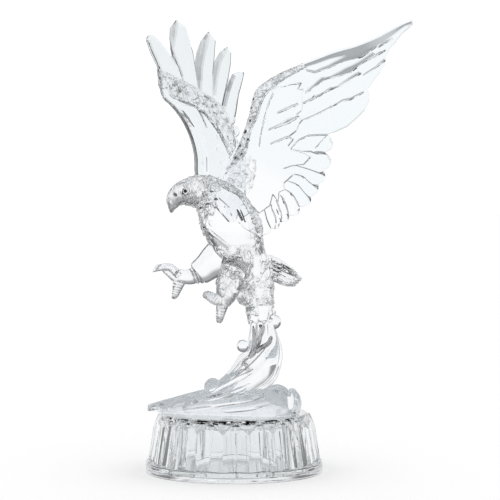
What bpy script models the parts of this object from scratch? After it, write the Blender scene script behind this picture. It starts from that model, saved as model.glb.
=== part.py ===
"""Clear acrylic eagle landing on a wave, on a round faceted base.

Metres, +Z up. The origin is at the middle of the underside. The eagle's head points along -X and
its left wing is on the -Y side.
"""

import math

import bmesh
import bpy
from mathutils import Vector

COLLECTION_NAME = "acrylic_eagle_figurine"

# Base
BASE_HEIGHT = 0.0395
RIM_RADIUS = 0.0592
DECK_RADIUS = 0.0490
PLATE_THICKNESS = 0.0032
PLATE_CHAMFER = 0.0004
FLANGE_THICKNESS = 0.0034
PRISM_COUNT = 20
PRISM_TURN = math.radians(10.5)
PRISM_FOOT_LEDGE = 0.0010
PRISM_FOOT_STEP = 0.0002
PRISM_LEAN = 0.0038
PRISM_GROOVE_DEPTH = 0.0022
PRISM_CROWN_DEPTH = 0.0046
NOTCH_DEPTH = 0.0086
DECK_BEVEL = 0.0016
SHELL_WALL = 0.0035
CAVITY_RUN_OUT = 0.0010

# Figure
FIGURE_HEIGHT = 0.2622
GLUE_GAP = 0.0003

# The figure's pose and carving are in parts of its own height, measured from the deck
PARTS_IN_HEIGHT = 262.2
PART = FIGURE_HEIGHT / PARTS_IN_HEIGHT
GAP_PARTS = GLUE_GAP / PART

# Level of the joint between the eagle and the wave, in parts above the deck
SEAM_LEVEL = 71.0

# Distances of the wings from the eagle's middle plane, in parts
WING_SEAT_DEPTH = 14.0
LEFT_WING_STAND_OFF = 3.2
RIGHT_WING_STAND_OFF = 3.5

# Facets that meet at less than this angle are one facet
LEVEL_ANGLE = math.radians(1.0)

CLEAR = (0.90, 0.94, 0.96, 1.0)
CLEAR_ROUGHNESS = 0.05


def clear_scene():
    """Remove every object of the scene."""
    for item in list(bpy.data.objects):
        bpy.data.objects.remove(item, do_unlink=True)


def make_collection(name):
    """Add a collection to the scene."""
    collection = bpy.data.collections.new(name)
    bpy.context.scene.collection.children.link(collection)
    return collection


def make_material(name):
    """Make the clear acrylic material of one piece."""
    material = bpy.data.materials.new(name)
    material.use_nodes = True
    shader = material.node_tree.nodes["Principled BSDF"]
    shader.inputs["Base Color"].default_value = CLEAR
    shader.inputs["Roughness"].default_value = CLEAR_ROUGHNESS
    shader.inputs["Metallic"].default_value = 0.0
    shader.inputs["IOR"].default_value = 1.49
    shader.inputs["Transmission Weight"].default_value = 1.0
    material.diffuse_color = CLEAR
    return material


def make_object(name, mesh, collection):
    """Link a new object that shows the mesh."""
    item = bpy.data.objects.new(name, mesh)
    collection.objects.link(item)
    return item


def skin(name, rings, collection):
    """Skin closed rings of equal length into one closed solid with flat ends."""
    shape = bmesh.new()
    levels = [[shape.verts.new(point) for point in ring] for ring in rings]
    count = len(rings[0])
    for lower, upper in zip(levels, levels[1:]):
        for i in range(count):
            j = (i + 1) % count
            shape.faces.new((lower[i], lower[j], upper[j], upper[i]))
    shape.faces.new(list(reversed(levels[0])))
    shape.faces.new(levels[-1])
    bmesh.ops.triangulate(shape, faces=shape.faces)
    bmesh.ops.recalc_face_normals(shape, faces=shape.faces)
    mesh = bpy.data.meshes.new(name)
    shape.to_mesh(mesh)
    shape.free()
    return make_object(name, mesh, collection)


def boolean(target, tool, operation, solver="EXACT"):
    """Run one Boolean step on the target and keep its result as the target's mesh."""
    step = target.modifiers.new(operation.lower(), "BOOLEAN")
    step.operation = operation
    step.object = tool
    step.solver = solver
    graph = bpy.context.evaluated_depsgraph_get()
    mesh = bpy.data.meshes.new_from_object(target.evaluated_get(graph))
    target.modifiers.remove(step)
    old = target.data
    target.data = mesh
    bpy.data.meshes.remove(old)
    bpy.data.objects.remove(tool, do_unlink=True)


def fuse(target, tools):
    """Unite carved forms that cross at slight angles, then fill the pockets caught between them."""
    for tool in tools:
        boolean(target, tool, "UNION", "MANIFOLD")
    fill_pockets(target)


def cut(target, tool):
    """Cut a tool away from a carved form."""
    boolean(target, tool, "DIFFERENCE", "MANIFOLD")


def fill_pockets(item):
    """Remove the inward-facing shells of sealed pockets from a solid."""
    shape = bmesh.new()
    shape.from_mesh(item.data)
    left = set(shape.verts)
    pockets = []
    while left:
        island = {left.pop()}
        front = list(island)
        while front:
            for edge in front.pop().link_edges:
                for vertex in edge.verts:
                    if vertex in left:
                        left.remove(vertex)
                        island.add(vertex)
                        front.append(vertex)
        faces = {face for vertex in island for face in vertex.link_faces}
        volume = 0.0
        for face in faces:
            corners = [vertex.co for vertex in face.verts]
            for second, third in zip(corners[1:], corners[2:]):
                volume += corners[0].dot(second.cross(third)) / 6
        if volume < 0.0:
            pockets.extend(island)
    bmesh.ops.delete(shape, geom=pockets, context="VERTS")
    shape.to_mesh(item.data)
    shape.free()


def finish(item, name):
    """Merge level facets, name a finished solid and give it its material."""
    shape = bmesh.new()
    shape.from_mesh(item.data)
    bmesh.ops.dissolve_limit(shape, angle_limit=LEVEL_ANGLE, verts=shape.verts, edges=shape.edges)
    bmesh.ops.triangulate(shape, faces=shape.faces)
    shape.to_mesh(item.data)
    shape.free()
    item.name = name
    item.data.name = name
    item.data.materials.clear()
    item.data.materials.append(make_material(name + "_acrylic"))


def on_deck(point):
    """Take a figure point from parts to metres and stand it on the deck."""
    x, y, z = point
    return Vector((x * PART, y * PART, BASE_HEIGHT + GLUE_GAP + z * PART))


def between(keys, value):
    """Read a value from (position, value) keys by straight lines."""
    if value <= keys[0][0]:
        return keys[0][1]
    for (low, start), (high, end) in zip(keys, keys[1:]):
        if value <= high:
            share = (value - low) / (high - low)
            return start + (end - start) * share
    return keys[-1][1]


class Limb:
    """Ellipses lofted along a path, such as the trunk, a leg or a toe.

    Each station is (x, y, z, radius in the eagle's length plane, radius across it). Angle 0 of a ring
    is on the left of the path's heading in that plane, and a quarter turn is on the +Y side.
    """

    def __init__(self, stations):
        self.stations = stations
        self.centres = [Vector(station[:3]) for station in stations]

    def frame(self, index):
        """Return the in-plane and the across axis of one ring."""
        ahead = self.centres[min(index + 1, len(self.centres) - 1)]
        behind = self.centres[max(index - 1, 0)]
        along = (ahead - behind).normalized()
        across = Vector((0.0, 1.0, 0.0))
        across = (across - along * across.dot(along)).normalized()
        return across.cross(along), across

    def spot(self, index, angle, lift=0.0, reach=1.0):
        """Return the point of a ring at an angle, lifted off the surface."""
        inward, across = self.frame(index)
        in_plane, out_of_plane = self.stations[index][3:]
        offset = inward * (math.cos(angle) * (in_plane * reach + lift))
        offset += across * (math.sin(angle) * (out_of_plane * reach + lift))
        return self.centres[index] + offset

    def surface(self, position, angle, lift=0.0):
        """Return the surface point at a position counted in stations."""
        low = min(int(position), len(self.stations) - 2)
        share = position - low
        return on_deck(self.spot(low, angle, lift).lerp(self.spot(low + 1, angle, lift), share))

    def solid(self, sides, collection, twist=0.0, flute=0.0):
        """Loft the rings. A twist turns each ring on, and a flute sinks every second point."""
        rings = []
        for index in range(len(self.stations)):
            ring = []
            for i in range(sides):
                angle = math.tau * (i / sides + twist * index)
                ring.append(on_deck(self.spot(index, angle, reach=1.0 - flute * (i % 2))))
            rings.append(ring)
        return skin("limb", rings, collection)

    def plume(self, start, end, angle, half_angle, rise, collection):
        """Make one pointed feather that lies along the limb with its tip lifted."""
        rings = []
        for share, width, lift in ((0.0, 0.75, -0.5), (0.55, 1.0, 0.75), (1.0, 0.15, 1.0)):
            position = start + (end - start) * share
            rings.append([
                self.surface(position, angle - half_angle * width, -0.5),
                self.surface(position, angle, lift * rise),
                self.surface(position, angle + half_angle * width, -0.5),
                self.surface(position, angle, -2.0),
            ])
        return skin("plume", rings, collection)

    def plumage(self, rows, collection):
        """Make rows of feathers: (start, end, first angle, last angle, count, rise) in degrees."""
        feathers = []
        for start, end, first, last, count, rise in rows:
            step = (last - first) / max(count - 1, 1)
            half_angle = math.radians(step * 0.52 if count > 1 else 18.0)
            for i in range(count):
                angle = math.radians(first + step * i)
                feathers.append(self.plume(start, end, angle, half_angle, rise, collection))
        return feathers


def ball(centre, radius, collection, stretch=(1.0, 1.0, 1.0), segments=10, rows=6):
    """Make a faceted ball or egg."""
    shape = bmesh.new()
    bmesh.ops.create_uvsphere(shape, u_segments=segments, v_segments=rows, radius=radius * PART)
    bmesh.ops.scale(shape, vec=stretch, verts=shape.verts)
    bmesh.ops.translate(shape, vec=on_deck(centre), verts=shape.verts)
    mesh = bpy.data.meshes.new("ball")
    shape.to_mesh(mesh)
    shape.free()
    return make_object("ball", mesh, collection)


def boss(x, z, half_length, half_height, start, end, collection, sides=10):
    """Make an oval boss that runs across the eagle from one y to another."""
    rings = []
    for y in (start, end):
        ring = []
        for i in range(sides):
            angle = math.tau * i / sides
            ring.append(on_deck((x + half_length * math.cos(angle), y, z + half_height * math.sin(angle))))
        rings.append(ring)
    return skin("boss", rings, collection)


def block(low, high, collection):
    """Make a box between two corners, in parts."""
    shape = bmesh.new()
    bmesh.ops.create_cube(shape, size=1.0)
    start, end = on_deck(low), on_deck(high)
    bmesh.ops.scale(shape, vec=end - start, verts=shape.verts)
    bmesh.ops.translate(shape, vec=(start + end) / 2, verts=shape.verts)
    mesh = bpy.data.meshes.new("block")
    shape.to_mesh(mesh)
    shape.free()
    return make_object("block", mesh, collection)


class WingSheet:
    """A leaning sheet that a wing lies in: u is along the chord, v is up and w is out of it."""

    def __init__(self, origin, yaw, outward, lean, span):
        self.origin = Vector(origin)
        self.chord = Vector((math.cos(yaw), math.sin(yaw), 0.0))
        self.normal = Vector((math.sin(yaw), -math.cos(yaw), 0.0)) * outward
        self.lean = lean
        self.span = span

    def place(self, u, v, w):
        """Return the point of the figure at sheet coordinates (u, v, w)."""
        bow = self.lean * (max(v, 0.0) / self.span) ** 1.5
        return on_deck(self.origin + self.chord * u + Vector((0.0, 0.0, v)) + self.normal * (w + bow))

    def blade(self, root, tip, outline, thickness, collection, pitch=0.0, lift=0.0, sag=0.0):
        """Loft one feather from its root to its tip.

        The outline is (share of the length, half width, fullness). The pitch raises one edge, as a
        feather that overlaps the next one lies, and the sag bends the feather down at its middle. The
        section has a low ridge along the quill and blunt edges.
        """
        edge = 0.4
        start, end = Vector(root), Vector(tip)
        along = (end - start).normalized()
        side = Vector((-along.y, along.x))
        rings = []
        for share, half_width, fullness in outline:
            centre = start + (end - start) * share - side * sag * 4.0 * share * (1.0 - share)
            half_thickness = thickness / 2 * fullness
            section = ((-1.0, -edge), (-1.0, edge), (0.0, 1.0), (1.0, edge), (1.0, -edge), (0.0, -1.0))
            ring = []
            for across, height in section:
                spot = centre + side * across * half_width
                w = lift + height * half_thickness + across * half_width * pitch
                ring.append(self.place(spot.x, spot.y, w))
            rings.append(ring)
        return skin("feather", rings, collection)

    def panel(self, rows, collection):
        """Loft the arm and its smooth web from level strips.

        Each row is (v, u at the front edge, u at the back edge, thickness of the arm, of the web).
        """
        rings = []
        for v, front, back, arm, web in rows:
            knee = front + min(7.0, (back - front) * 0.4)
            section = (
                (front, -arm * 0.25), (front, arm * 0.25), (front + 2.2, arm / 2), (knee, arm / 2.4),
                (knee + 1.5, web / 2), (back, web / 2.6), (back, -web / 2.6), (knee + 1.5, -web / 2),
                (knee, -arm / 2.4), (front + 2.2, -arm / 2),
            )
            rings.append([self.place(u, v, w) for u, w in section])
        return skin("panel", rings, collection)


LEFT_PLANE = -WING_SEAT_DEPTH - LEFT_WING_STAND_OFF
RIGHT_PLANE = WING_SEAT_DEPTH + RIGHT_WING_STAND_OFF
LEFT_SHEET = WingSheet((1.5, LEFT_PLANE, 147.0), math.radians(-7.0), 1.0, 44.0, 116.0)
RIGHT_SHEET = WingSheet((-11.0, RIGHT_PLANE, 154.5), math.radians(30.0), -1.0, 30.0, 110.0)

PRIMARY_SHAPE = ((0.0, 0.75, 1.0), (0.45, 1.0, 1.0), (0.8, 0.85, 0.8), (1.0, 0.22, 0.4))
SECONDARY_SHAPE = ((0.0, 0.75, 1.0), (0.55, 1.0, 1.0), (0.85, 0.8, 0.85), (1.0, 0.32, 0.5))
COVERT_SHAPE = ((0.0, 0.8, 1.0), (0.6, 1.0, 1.0), (1.0, 0.35, 0.6))
FINGER_SHAPE = ((0.0, 0.8, 1.0), (0.5, 0.98, 1.0), (0.75, 1.0, 0.95), (0.91, 0.84, 0.85))
FRONT_FINGER_SHAPE = ((0.0, 1.0, 1.0), (0.5, 0.96, 1.0), (0.78, 0.76, 0.95), (0.93, 0.5, 0.85))


def scaled(shape, half_width):
    """Scale a feather outline to a half width."""
    return [(share, width * half_width, fullness) for share, width, fullness in shape]


def star_ring(radius, sunk, level, lift=0.0):
    """Ring of a prism band: ridges at the radius and grooves between them."""
    ring = []
    for i in range(2 * PRISM_COUNT):
        angle = math.tau * i / (2 * PRISM_COUNT) + PRISM_TURN
        groove = i % 2
        reach = radius - sunk * groove
        ring.append(Vector((reach * math.cos(angle), reach * math.sin(angle), level + lift * groove)))
    return ring


def build_base_shell(parts, cutters):
    """Build the hollow base: flange, ring of notched prisms, bevelled deck and open underside."""
    floor = PLATE_THICKNESS + GLUE_GAP
    flange_top = floor + FLANGE_THICKNESS
    notch = BASE_HEIGHT - NOTCH_DEPTH
    foot_radius = RIM_RADIUS - PRISM_FOOT_LEDGE
    head_radius = foot_radius - PRISM_LEAN
    ceiling = BASE_HEIGHT - SHELL_WALL
    rings = [
        star_ring(RIM_RADIUS, 0.0, floor),
        star_ring(RIM_RADIUS, 0.0, flange_top),
        star_ring(foot_radius, PRISM_GROOVE_DEPTH, flange_top + PRISM_FOOT_STEP),
        star_ring(head_radius, PRISM_CROWN_DEPTH, notch, NOTCH_DEPTH - DECK_BEVEL),
        star_ring(DECK_RADIUS, 0.0, BASE_HEIGHT - DECK_BEVEL / 4),
        star_ring(DECK_RADIUS - DECK_BEVEL, 0.0, BASE_HEIGHT),
    ]
    shell = skin("base_shell", rings, parts)
    cavity = skin("cavity", [
        star_ring(RIM_RADIUS - SHELL_WALL, 0.0, floor - CAVITY_RUN_OUT),
        star_ring(foot_radius - PRISM_GROOVE_DEPTH - SHELL_WALL, 0.0, flange_top),
        star_ring(DECK_RADIUS - SHELL_WALL, 0.0, ceiling - DECK_BEVEL),
        star_ring(DECK_RADIUS - SHELL_WALL - DECK_BEVEL, 0.0, ceiling),
    ], cutters)
    boolean(shell, cavity, "DIFFERENCE")
    finish(shell, "base_shell")


def build_base_plate(parts):
    """Build the round plate that closes the underside."""
    plate = skin("base_plate", [
        star_ring(RIM_RADIUS - PLATE_CHAMFER, 0.0, 0.0),
        star_ring(RIM_RADIUS, 0.0, PLATE_CHAMFER),
        star_ring(RIM_RADIUS, 0.0, PLATE_THICKNESS),
    ], parts)
    finish(plate, "base_plate")


def build_wave(parts, cutters):
    """Build the wave: tongue over the deck's edge, twisted column, crest dome, foam and drops."""
    swell_rows = (
        (-57.8, 0.6, 4.4, 1.8), (-50.0, 1.2, 6.8, 6.0), (-41.0, 1.6, 9.2, 10.0), (-29.0, 2.2, 12.6, 14.5),
        (-14.0, 2.4, 16.4, 19.0), (2.0, 2.0, 18.0, 22.0), (18.0, 1.0, 18.0, 23.0), (30.0, 0.0, 13.0, 20.0),
        (38.0, -2.0, 8.0, 13.0),
    )
    profile = ((-1.0, 0.0), (-0.9, 0.4), (-0.62, 0.56), (-0.4, 0.9), (-0.06, 0.84), (0.16, 1.0),
               (0.42, 0.72), (0.68, 0.66), (0.88, 0.36), (1.0, 0.0))
    rings = []
    for x, drift, height, half_width in swell_rows:
        rings.append([on_deck((x, drift + across * half_width, rise * height)) for across, rise in profile])
    wave = skin("wave", rings, parts)
    column = Limb((
        (-22.0, -1.0, 7.0, 6.0, 9.0), (-8.0, 0.0, 12.0, 9.0, 12.0), (4.5, 0.5, 18.5, 12.5, 13.5),
        (14.6, 0.5, 28.0, 15.0, 13.5), (19.6, 0.0, 38.0, 13.0, 12.5), (19.6, 0.0, 48.0, 10.8, 10.5),
        (18.8, 0.0, SEAM_LEVEL - 14.0, 8.5, 9.0), (18.0, 0.0, SEAM_LEVEL - 7.0, 8.6, 8.8),
        (17.0, 0.0, SEAM_LEVEL + 3.0, 9.4, 9.2),
    )).solid(14, cutters, twist=0.03, flute=0.14)
    dome = ball((28.5, -7.0, 5.2), 11.0, cutters, stretch=(1.0, 1.0, 1.27))
    rock = ball((39.4, -9.0, 7.0), 5.2, cutters, stretch=(1.0, 1.5, 1.9), segments=7, rows=5)
    drops = [
        ball((26.6, 0.5, 60.0), 4.9, cutters, segments=8, rows=5),
        ball((5.8, -2.5, 44.2), 4.2, cutters, segments=8, rows=5),
        ball((-14.2, -3.0, 17.0), 5.8, cutters, segments=8, rows=5),
    ]
    foam = []
    foam_spots = ((-170.0, 5.5), (-135.0, 4.0), (-100.0, 5.2), (-65.0, 3.6), (150.0, 3.8), (110.0, 5.0))
    for turn, below in foam_spots:
        angle = math.radians(turn)
        centre = (17.4 + 6.6 * math.cos(angle), 6.6 * math.sin(angle), SEAM_LEVEL - below)
        foam.append(ball(centre, 3.8, cutters, segments=7, rows=4))
    fuse(wave, [column, dome, rock] + drops + foam)
    cut(wave, block((-90.0, -70.0, SEAM_LEVEL), (90.0, 70.0, SEAM_LEVEL + 20.0), cutters))
    cut(wave, block((-90.0, -70.0, -20.0), (90.0, 70.0, 0.0), cutters))
    finish(wave, "wave")


def build_toes(cutters):
    """Build the toes and claws of both feet."""
    toes = (
        ((-35.0, 9.0, 89.6, 3.4, 3.4), (-39.4, 7.6, 93.2, 2.7, 2.6), (-42.6, 7.0, 96.0, 2.6, 2.5),
         (-46.6, 6.8, 96.4, 2.5, 2.3), (-50.8, 6.8, 95.4, 1.9, 1.8), (-54.8, 6.8, 93.2, 0.5, 0.5)),
        ((-35.0, 11.0, 88.4, 3.4, 3.4), (-39.8, 13.0, 88.8, 2.8, 2.6), (-44.2, 14.2, 92.4, 2.6, 2.4),
         (-48.2, 14.8, 95.6, 2.0, 1.9), (-51.4, 15.0, 96.4, 1.3, 1.2), (-54.0, 15.2, 94.6, 0.5, 0.5)),
        ((-35.4, 10.0, 89.4, 4.4, 4.2), (-37.4, 10.0, 85.0, 4.0, 3.8), (-38.8, 10.0, 80.4, 2.9, 2.8),
         (-40.0, 10.0, 77.0, 2.2, 2.1), (-41.4, 10.0, 75.0, 1.0, 1.0)),
        ((-7.0, -18.6, 75.6, 3.6, 3.6), (-11.6, -20.6, 76.2, 3.6, 3.4), (-15.2, -21.6, 78.2, 3.3, 3.1),
         (-18.0, -22.2, 79.6, 2.6, 2.4), (-20.2, -22.6, 78.0, 0.9, 0.9)),
        ((-7.0, -16.6, 75.6, 3.6, 3.6), (-11.4, -15.0, 75.6, 3.2, 3.0), (-14.8, -14.0, 77.2, 2.9, 2.7),
         (-17.2, -13.4, 78.0, 2.2, 2.0), (-19.0, -13.2, 76.4, 0.8, 0.8)),
        ((-7.0, -18.0, 76.0, 4.8, 4.6), (-8.0, -18.0, 71.0, 3.8, 3.6), (-9.0, -18.0, 66.0, 2.9, 2.8),
         (-9.6, -18.0, 62.4, 2.2, 2.1), (-9.8, -18.0, 60.8, 1.4, 1.4)),
    )
    return [Limb(stations).solid(6, cutters) for stations in toes]


def build_tail(cutters):
    """Build the fan of tail feathers, its near edge lower."""
    feathers = []
    feather_count = 5
    for i in range(feather_count):
        share = i / (feather_count - 1)
        y = 9.0 - 12.0 * share
        reach = 1.0 - 0.12 * abs(share - 0.5) * 2.0
        feathers.append(Limb((
            (13.0, 3.0 + (y - 3.0) * 0.35, 101.0 - 6.0 * share, 3.0, 3.4),
            (24.0, 3.0 + (y - 3.0) * 0.8, 101.0 - 9.0 * share, 3.1, 3.8),
            (13.0 + 21.0 * reach, y, 97.6 - 9.6 * share, 2.9, 4.2),
            (13.0 + 28.5 * reach, 3.0 + (y - 3.0) * 1.3, 93.6 - 7.6 * share, 2.2, 3.6),
            (13.0 + 32.0 * reach, 3.0 + (y - 3.0) * 1.4, 90.6 - 5.4 * share, 1.2, 1.8),
        )).solid(6, cutters))
    return feathers


def build_body(parts, cutters):
    """Build the eagle's head, trunk, legs, tail and the post that it stands on."""
    trunk = Limb((
        (-26.0, 0.0, 149.0, 7.0, 6.5), (-19.5, 0.0, 146.6, 11.0, 10.0), (-13.0, 0.0, 141.8, 14.6, 12.8),
        (-8.0, 0.0, 136.0, 17.0, 14.8), (-3.8, 0.0, 128.4, 18.2, 15.6), (-0.2, 0.0, 120.8, 18.0, 15.8),
        (3.4, 0.0, 113.4, 17.0, 15.0), (7.2, 0.0, 106.6, 14.2, 13.0), (11.5, 0.0, 99.5, 11.5, 11.0),
        (14.5, 0.0, 92.0, 10.0, 9.5), (16.5, 0.0, 84.0, 9.0, 8.8),
    ))
    head = Limb((
        (-8.0, 0.0, 145.6, 7.6, 8.0), (-13.0, 0.0, 146.4, 9.8, 9.4), (-19.5, 0.0, 146.9, 10.8, 9.8),
        (-26.5, 0.0, 147.0, 10.3, 9.2), (-32.4, 0.0, 146.0, 9.2, 7.6), (-37.2, 0.0, 143.8, 7.6, 5.6),
        (-40.0, 0.0, 140.4, 5.8, 4.2), (-41.2, 0.0, 136.8, 3.3, 2.8), (-42.0, 0.0, 133.0, 0.8, 0.8),
    ))
    far_thigh = Limb((
        (2.0, 7.0, 113.0, 10.0, 6.5), (-6.0, 8.0, 107.0, 11.8, 8.5), (-13.0, 9.0, 100.6, 11.2, 8.8),
        (-19.0, 9.5, 95.6, 9.4, 8.0), (-23.6, 10.0, 92.4, 8.4, 7.4), (-25.4, 10.0, 91.2, 6.2, 6.0),
        (-30.0, 10.0, 89.6, 5.2, 5.0), (-36.0, 10.0, 89.8, 4.4, 4.4),
    ))
    near_thigh = Limb((
        (5.0, -7.0, 111.0, 8.6, 6.0), (3.0, -11.0, 104.4, 10.2, 7.4), (1.2, -13.4, 97.4, 10.2, 8.0),
        (-0.6, -14.6, 93.0, 9.0, 7.4), (-3.2, -16.0, 85.6, 8.4, 7.0), (-5.2, -17.4, 78.6, 6.8, 6.0),
        (-7.2, -18.0, 73.0, 4.4, 4.4),
    ))
    post = Limb(((17.0, 0.0, 103.0, 8.4, 8.4), (17.0, 0.0, 92.0, 9.3, 9.0),
                 (17.0, 0.0, SEAM_LEVEL - 1.0, 9.3, 9.2)))
    feet = [
        ball((-36.0, 10.0, 90.6), 4.2, cutters, segments=8, rows=5),
        ball((-8.0, -18.2, 75.6), 4.8, cutters, segments=8, rows=5),
    ]
    skirt = Limb(((9.0, -3.0, 97.0, 8.6, 7.0), (9.0, -3.0, 87.0, 8.2, 7.4),
                  (9.3, -3.0, SEAM_LEVEL + 8.0, 7.3, 6.6), (11.6, -3.0, SEAM_LEVEL - 1.0, 4.4, 4.4)))
    ruff = trunk.plumage((
        (0.3, 1.5, -145.0, 145.0, 7, 1.2), (1.2, 2.4, -120.0, 120.0, 6, 1.4),
        (2.1, 3.3, -90.0, 90.0, 5, 1.5), (3.1, 4.3, -44.0, 44.0, 3, 1.4), (4.1, 5.3, -24.0, 24.0, 2, 1.2),
    ), cutters)
    breeches = near_thigh.plumage((
        (0.7, 1.9, -150.0, 20.0, 4, 1.2), (1.7, 2.9, -170.0, 0.0, 4, 1.3), (3.2, 4.3, -150.0, 20.0, 4, 1.2),
    ), cutters)
    vent = skirt.plumage(((0.5, 1.6, -140.0, 20.0, 4, 1.2), (1.3, 2.5, -120.0, 40.0, 4, 1.2)), cutters)
    solids = [head.solid(10, cutters), far_thigh.solid(10, cutters), near_thigh.solid(10, cutters),
              post.solid(10, cutters), skirt.solid(8, cutters)]
    body = trunk.solid(12, parts)
    fuse(body, solids + feet + build_toes(cutters) + build_tail(cutters) + ruff + breeches + vent)
    seat_reach = 40.0
    cut(body, block((3.0, -20.0, SEAM_LEVEL - 12.0), (40.0, 20.0, SEAM_LEVEL + GAP_PARTS), cutters))
    cut(body, block((-12.0, -seat_reach, 118.0), (24.0, -WING_SEAT_DEPTH, 154.0), cutters))
    cut(body, block((-14.0, WING_SEAT_DEPTH, 120.0), (24.0, seat_reach, 156.0), cutters))
    finish(body, "eagle_body")


def build_left_wing(parts, cutters):
    """Build the wing on the camera's side, swept up and back."""
    sheet = LEFT_SHEET
    wing = sheet.panel((
        (-27.0, 12.0, 18.0, 3.2, 2.6), (-20.0, 1.8, 21.0, 3.6, 3.0), (-12.0, -4.2, 24.0, 4.0, 3.2),
        (-4.0, -10.4, 26.0, 3.2, 3.0), (6.0, -13.0, 30.0, 2.6, 3.2), (14.0, -8.2, 34.0, 5.4, 3.4),
        (27.4, 0.4, 37.0, 6.8, 3.4), (40.0, 6.4, 41.0, 7.0, 3.4), (53.3, 11.0, 44.0, 6.8, 3.4),
        (65.4, 15.0, 45.0, 6.6, 3.4), (71.2, 21.8, 46.0, 6.0, 3.4), (76.6, 31.0, 48.0, 5.4, 3.4),
        (82.0, 43.0, 52.0, 4.4, 3.2),
    ), parts)
    feathers = []
    primaries = (
        ((31.0, 72.0), (117.4, 108.4), 4.2, 1.6), ((28.0, 64.0), (107.6, 97.4), 4.8, 1.4),
        ((29.0, 52.0), (99.4, 85.2), 6.4, 1.0), ((30.0, 40.0), (91.6, 73.6), 6.8, 1.0),
        ((33.0, 30.0), (88.2, 63.0), 7.2, 0.6),
    )
    for index, (root, tip, half_width, sag) in enumerate(primaries):
        shape = scaled(PRIMARY_SHAPE, half_width)
        feathers.append(sheet.blade(root, tip, shape, 3.6 - 0.2 * index, cutters,
                                    pitch=0.12, lift=0.8 - 0.4 * index, sag=sag))
    tips = ((64.6, 31.6), (63.2, 20.8), (59.4, 10.4), (54.1, 1.2), (49.5, -6.0), (42.2, -12.6),
            (35.0, -18.5), (27.7, -23.2), (21.1, -27.8))
    last = len(tips) - 1
    for index, tip in enumerate(tips):
        share = index / last
        heading = math.radians(between(((0.0, 6.0), (0.25, -12.0), (0.5, -34.0), (1.0, -66.0)), share))
        length = between(((0.0, 32.0), (0.5, 28.0), (1.0, 18.0)), share)
        root = (tip[0] - math.cos(heading) * length, tip[1] - math.sin(heading) * length)
        half_width = between(((0.0, 6.4), (0.5, 5.2), (1.0, 4.2)), share)
        feathers.append(sheet.blade(root, tip, scaled(SECONDARY_SHAPE, half_width), 3.2, cutters,
                                    pitch=0.12, lift=-0.6))
    coverts = (
        ((19.0, 58.0), (50.0, 68.0), 5.6), ((17.0, 47.0), (47.0, 56.0), 5.6),
        ((14.0, 36.0), (44.4, 44.4), 5.6), ((12.0, 26.0), (46.0, 30.0), 5.4),
        ((12.0, 18.0), (44.0, 17.0), 4.8), ((12.0, 11.0), (38.4, 7.6), 4.6),
        ((11.0, 5.0), (33.0, -0.4), 4.2), ((9.0, 0.0), (27.4, -7.0), 4.0), ((8.0, -6.0), (21.6, -12.6), 3.8),
    )
    for root, tip, half_width in coverts:
        feathers.append(sheet.blade(root, tip, scaled(COVERT_SHAPE, half_width), 4.6, cutters, pitch=0.14))
    stub = boss(5.0, 135.0, 6.5, 8.0, -WING_SEAT_DEPTH - GAP_PARTS, LEFT_PLANE, cutters)
    fuse(wing, feathers + [stub])
    finish(wing, "wing_left")


def build_right_wing(parts, cutters):
    """Build the wing on the far side, raised with its fingers apart."""
    sheet = RIGHT_SHEET
    wing = sheet.panel((
        (-28.0, 8.0, 16.0, 3.2, 2.8), (-16.0, -2.0, 20.0, 4.0, 3.0), (-6.0, -6.0, 21.0, 5.4, 3.2),
        (0.6, -12.0, 21.0, 6.6, 3.4), (3.0, -17.0, 20.8, 6.8, 3.4), (16.9, -17.0, 18.5, 7.0, 3.4),
        (29.0, -19.2, 16.5, 7.0, 3.4), (40.3, -23.8, 13.0, 7.0, 3.4), (49.0, -30.2, 4.0, 6.6, 3.4),
        (55.0, -36.1, -2.0, 6.0, 3.4), (62.3, -37.2, -8.0, 5.6, 3.4), (69.8, -35.2, -14.0, 5.0, 3.2),
    ), parts)
    fingers = (
        ((-21.4, 50.0), (-38.2, 96.4), 6.6, 0.22, FRONT_FINGER_SHAPE),
        ((-12.0, 48.0), (-15.8, 108.4), 7.3, 0.14, FINGER_SHAPE),
        ((-12.0, 46.0), (7.8, 101.3), 6.4, 0.14, FINGER_SHAPE),
        ((-6.0, 38.0), (19.4, 91.0), 6.0, 0.4, FINGER_SHAPE),
        ((-2.0, 22.0), (25.0, 73.6), 5.8, 0.7, FINGER_SHAPE),
    )
    feathers = []
    for index, (root, tip, half_width, point, outline) in enumerate(fingers):
        shape = scaled(outline + ((1.0, point, 0.5),), half_width)
        feathers.append(sheet.blade(root, tip, shape, 4.0, cutters, pitch=-0.10, lift=0.6 - 0.3 * index))
    for tip in ((16.6, 42.6), (18.8, 34.4), (17.6, 26.0), (20.0, 17.0), (22.0, 7.0), (21.0, -4.0)):
        root = (tip[0] - 18.0, tip[1] - 6.0)
        shape = scaled(SECONDARY_SHAPE, 4.8)
        feathers.append(sheet.blade(root, tip, shape, 3.2, cutters, pitch=-0.1, lift=-0.5))
    for tip in ((-28.0, 74.0), (-18.0, 70.0), (-8.0, 62.0), (1.0, 51.0), (8.0, 40.0), (13.0, 28.0)):
        root = (tip[0] - 3.0, tip[1] - 17.0)
        feathers.append(sheet.blade(root, tip, scaled(COVERT_SHAPE, 5.0), 5.2, cutters, pitch=-0.14))
    stub = boss(-5.0, 138.0, 7.0, 9.0, WING_SEAT_DEPTH + GAP_PARTS, RIGHT_PLANE + 1.5, cutters)
    fuse(wing, feathers + [stub])
    finish(wing, "wing_right")


def main():
    """Build the whole figurine."""
    clear_scene()
    parts = make_collection(COLLECTION_NAME)
    cutters = make_collection("cutters")
    build_base_shell(parts, cutters)
    build_base_plate(parts)
    build_wave(parts, cutters)
    build_body(parts, cutters)
    build_left_wing(parts, cutters)
    build_right_wing(parts, cutters)


main()
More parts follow.
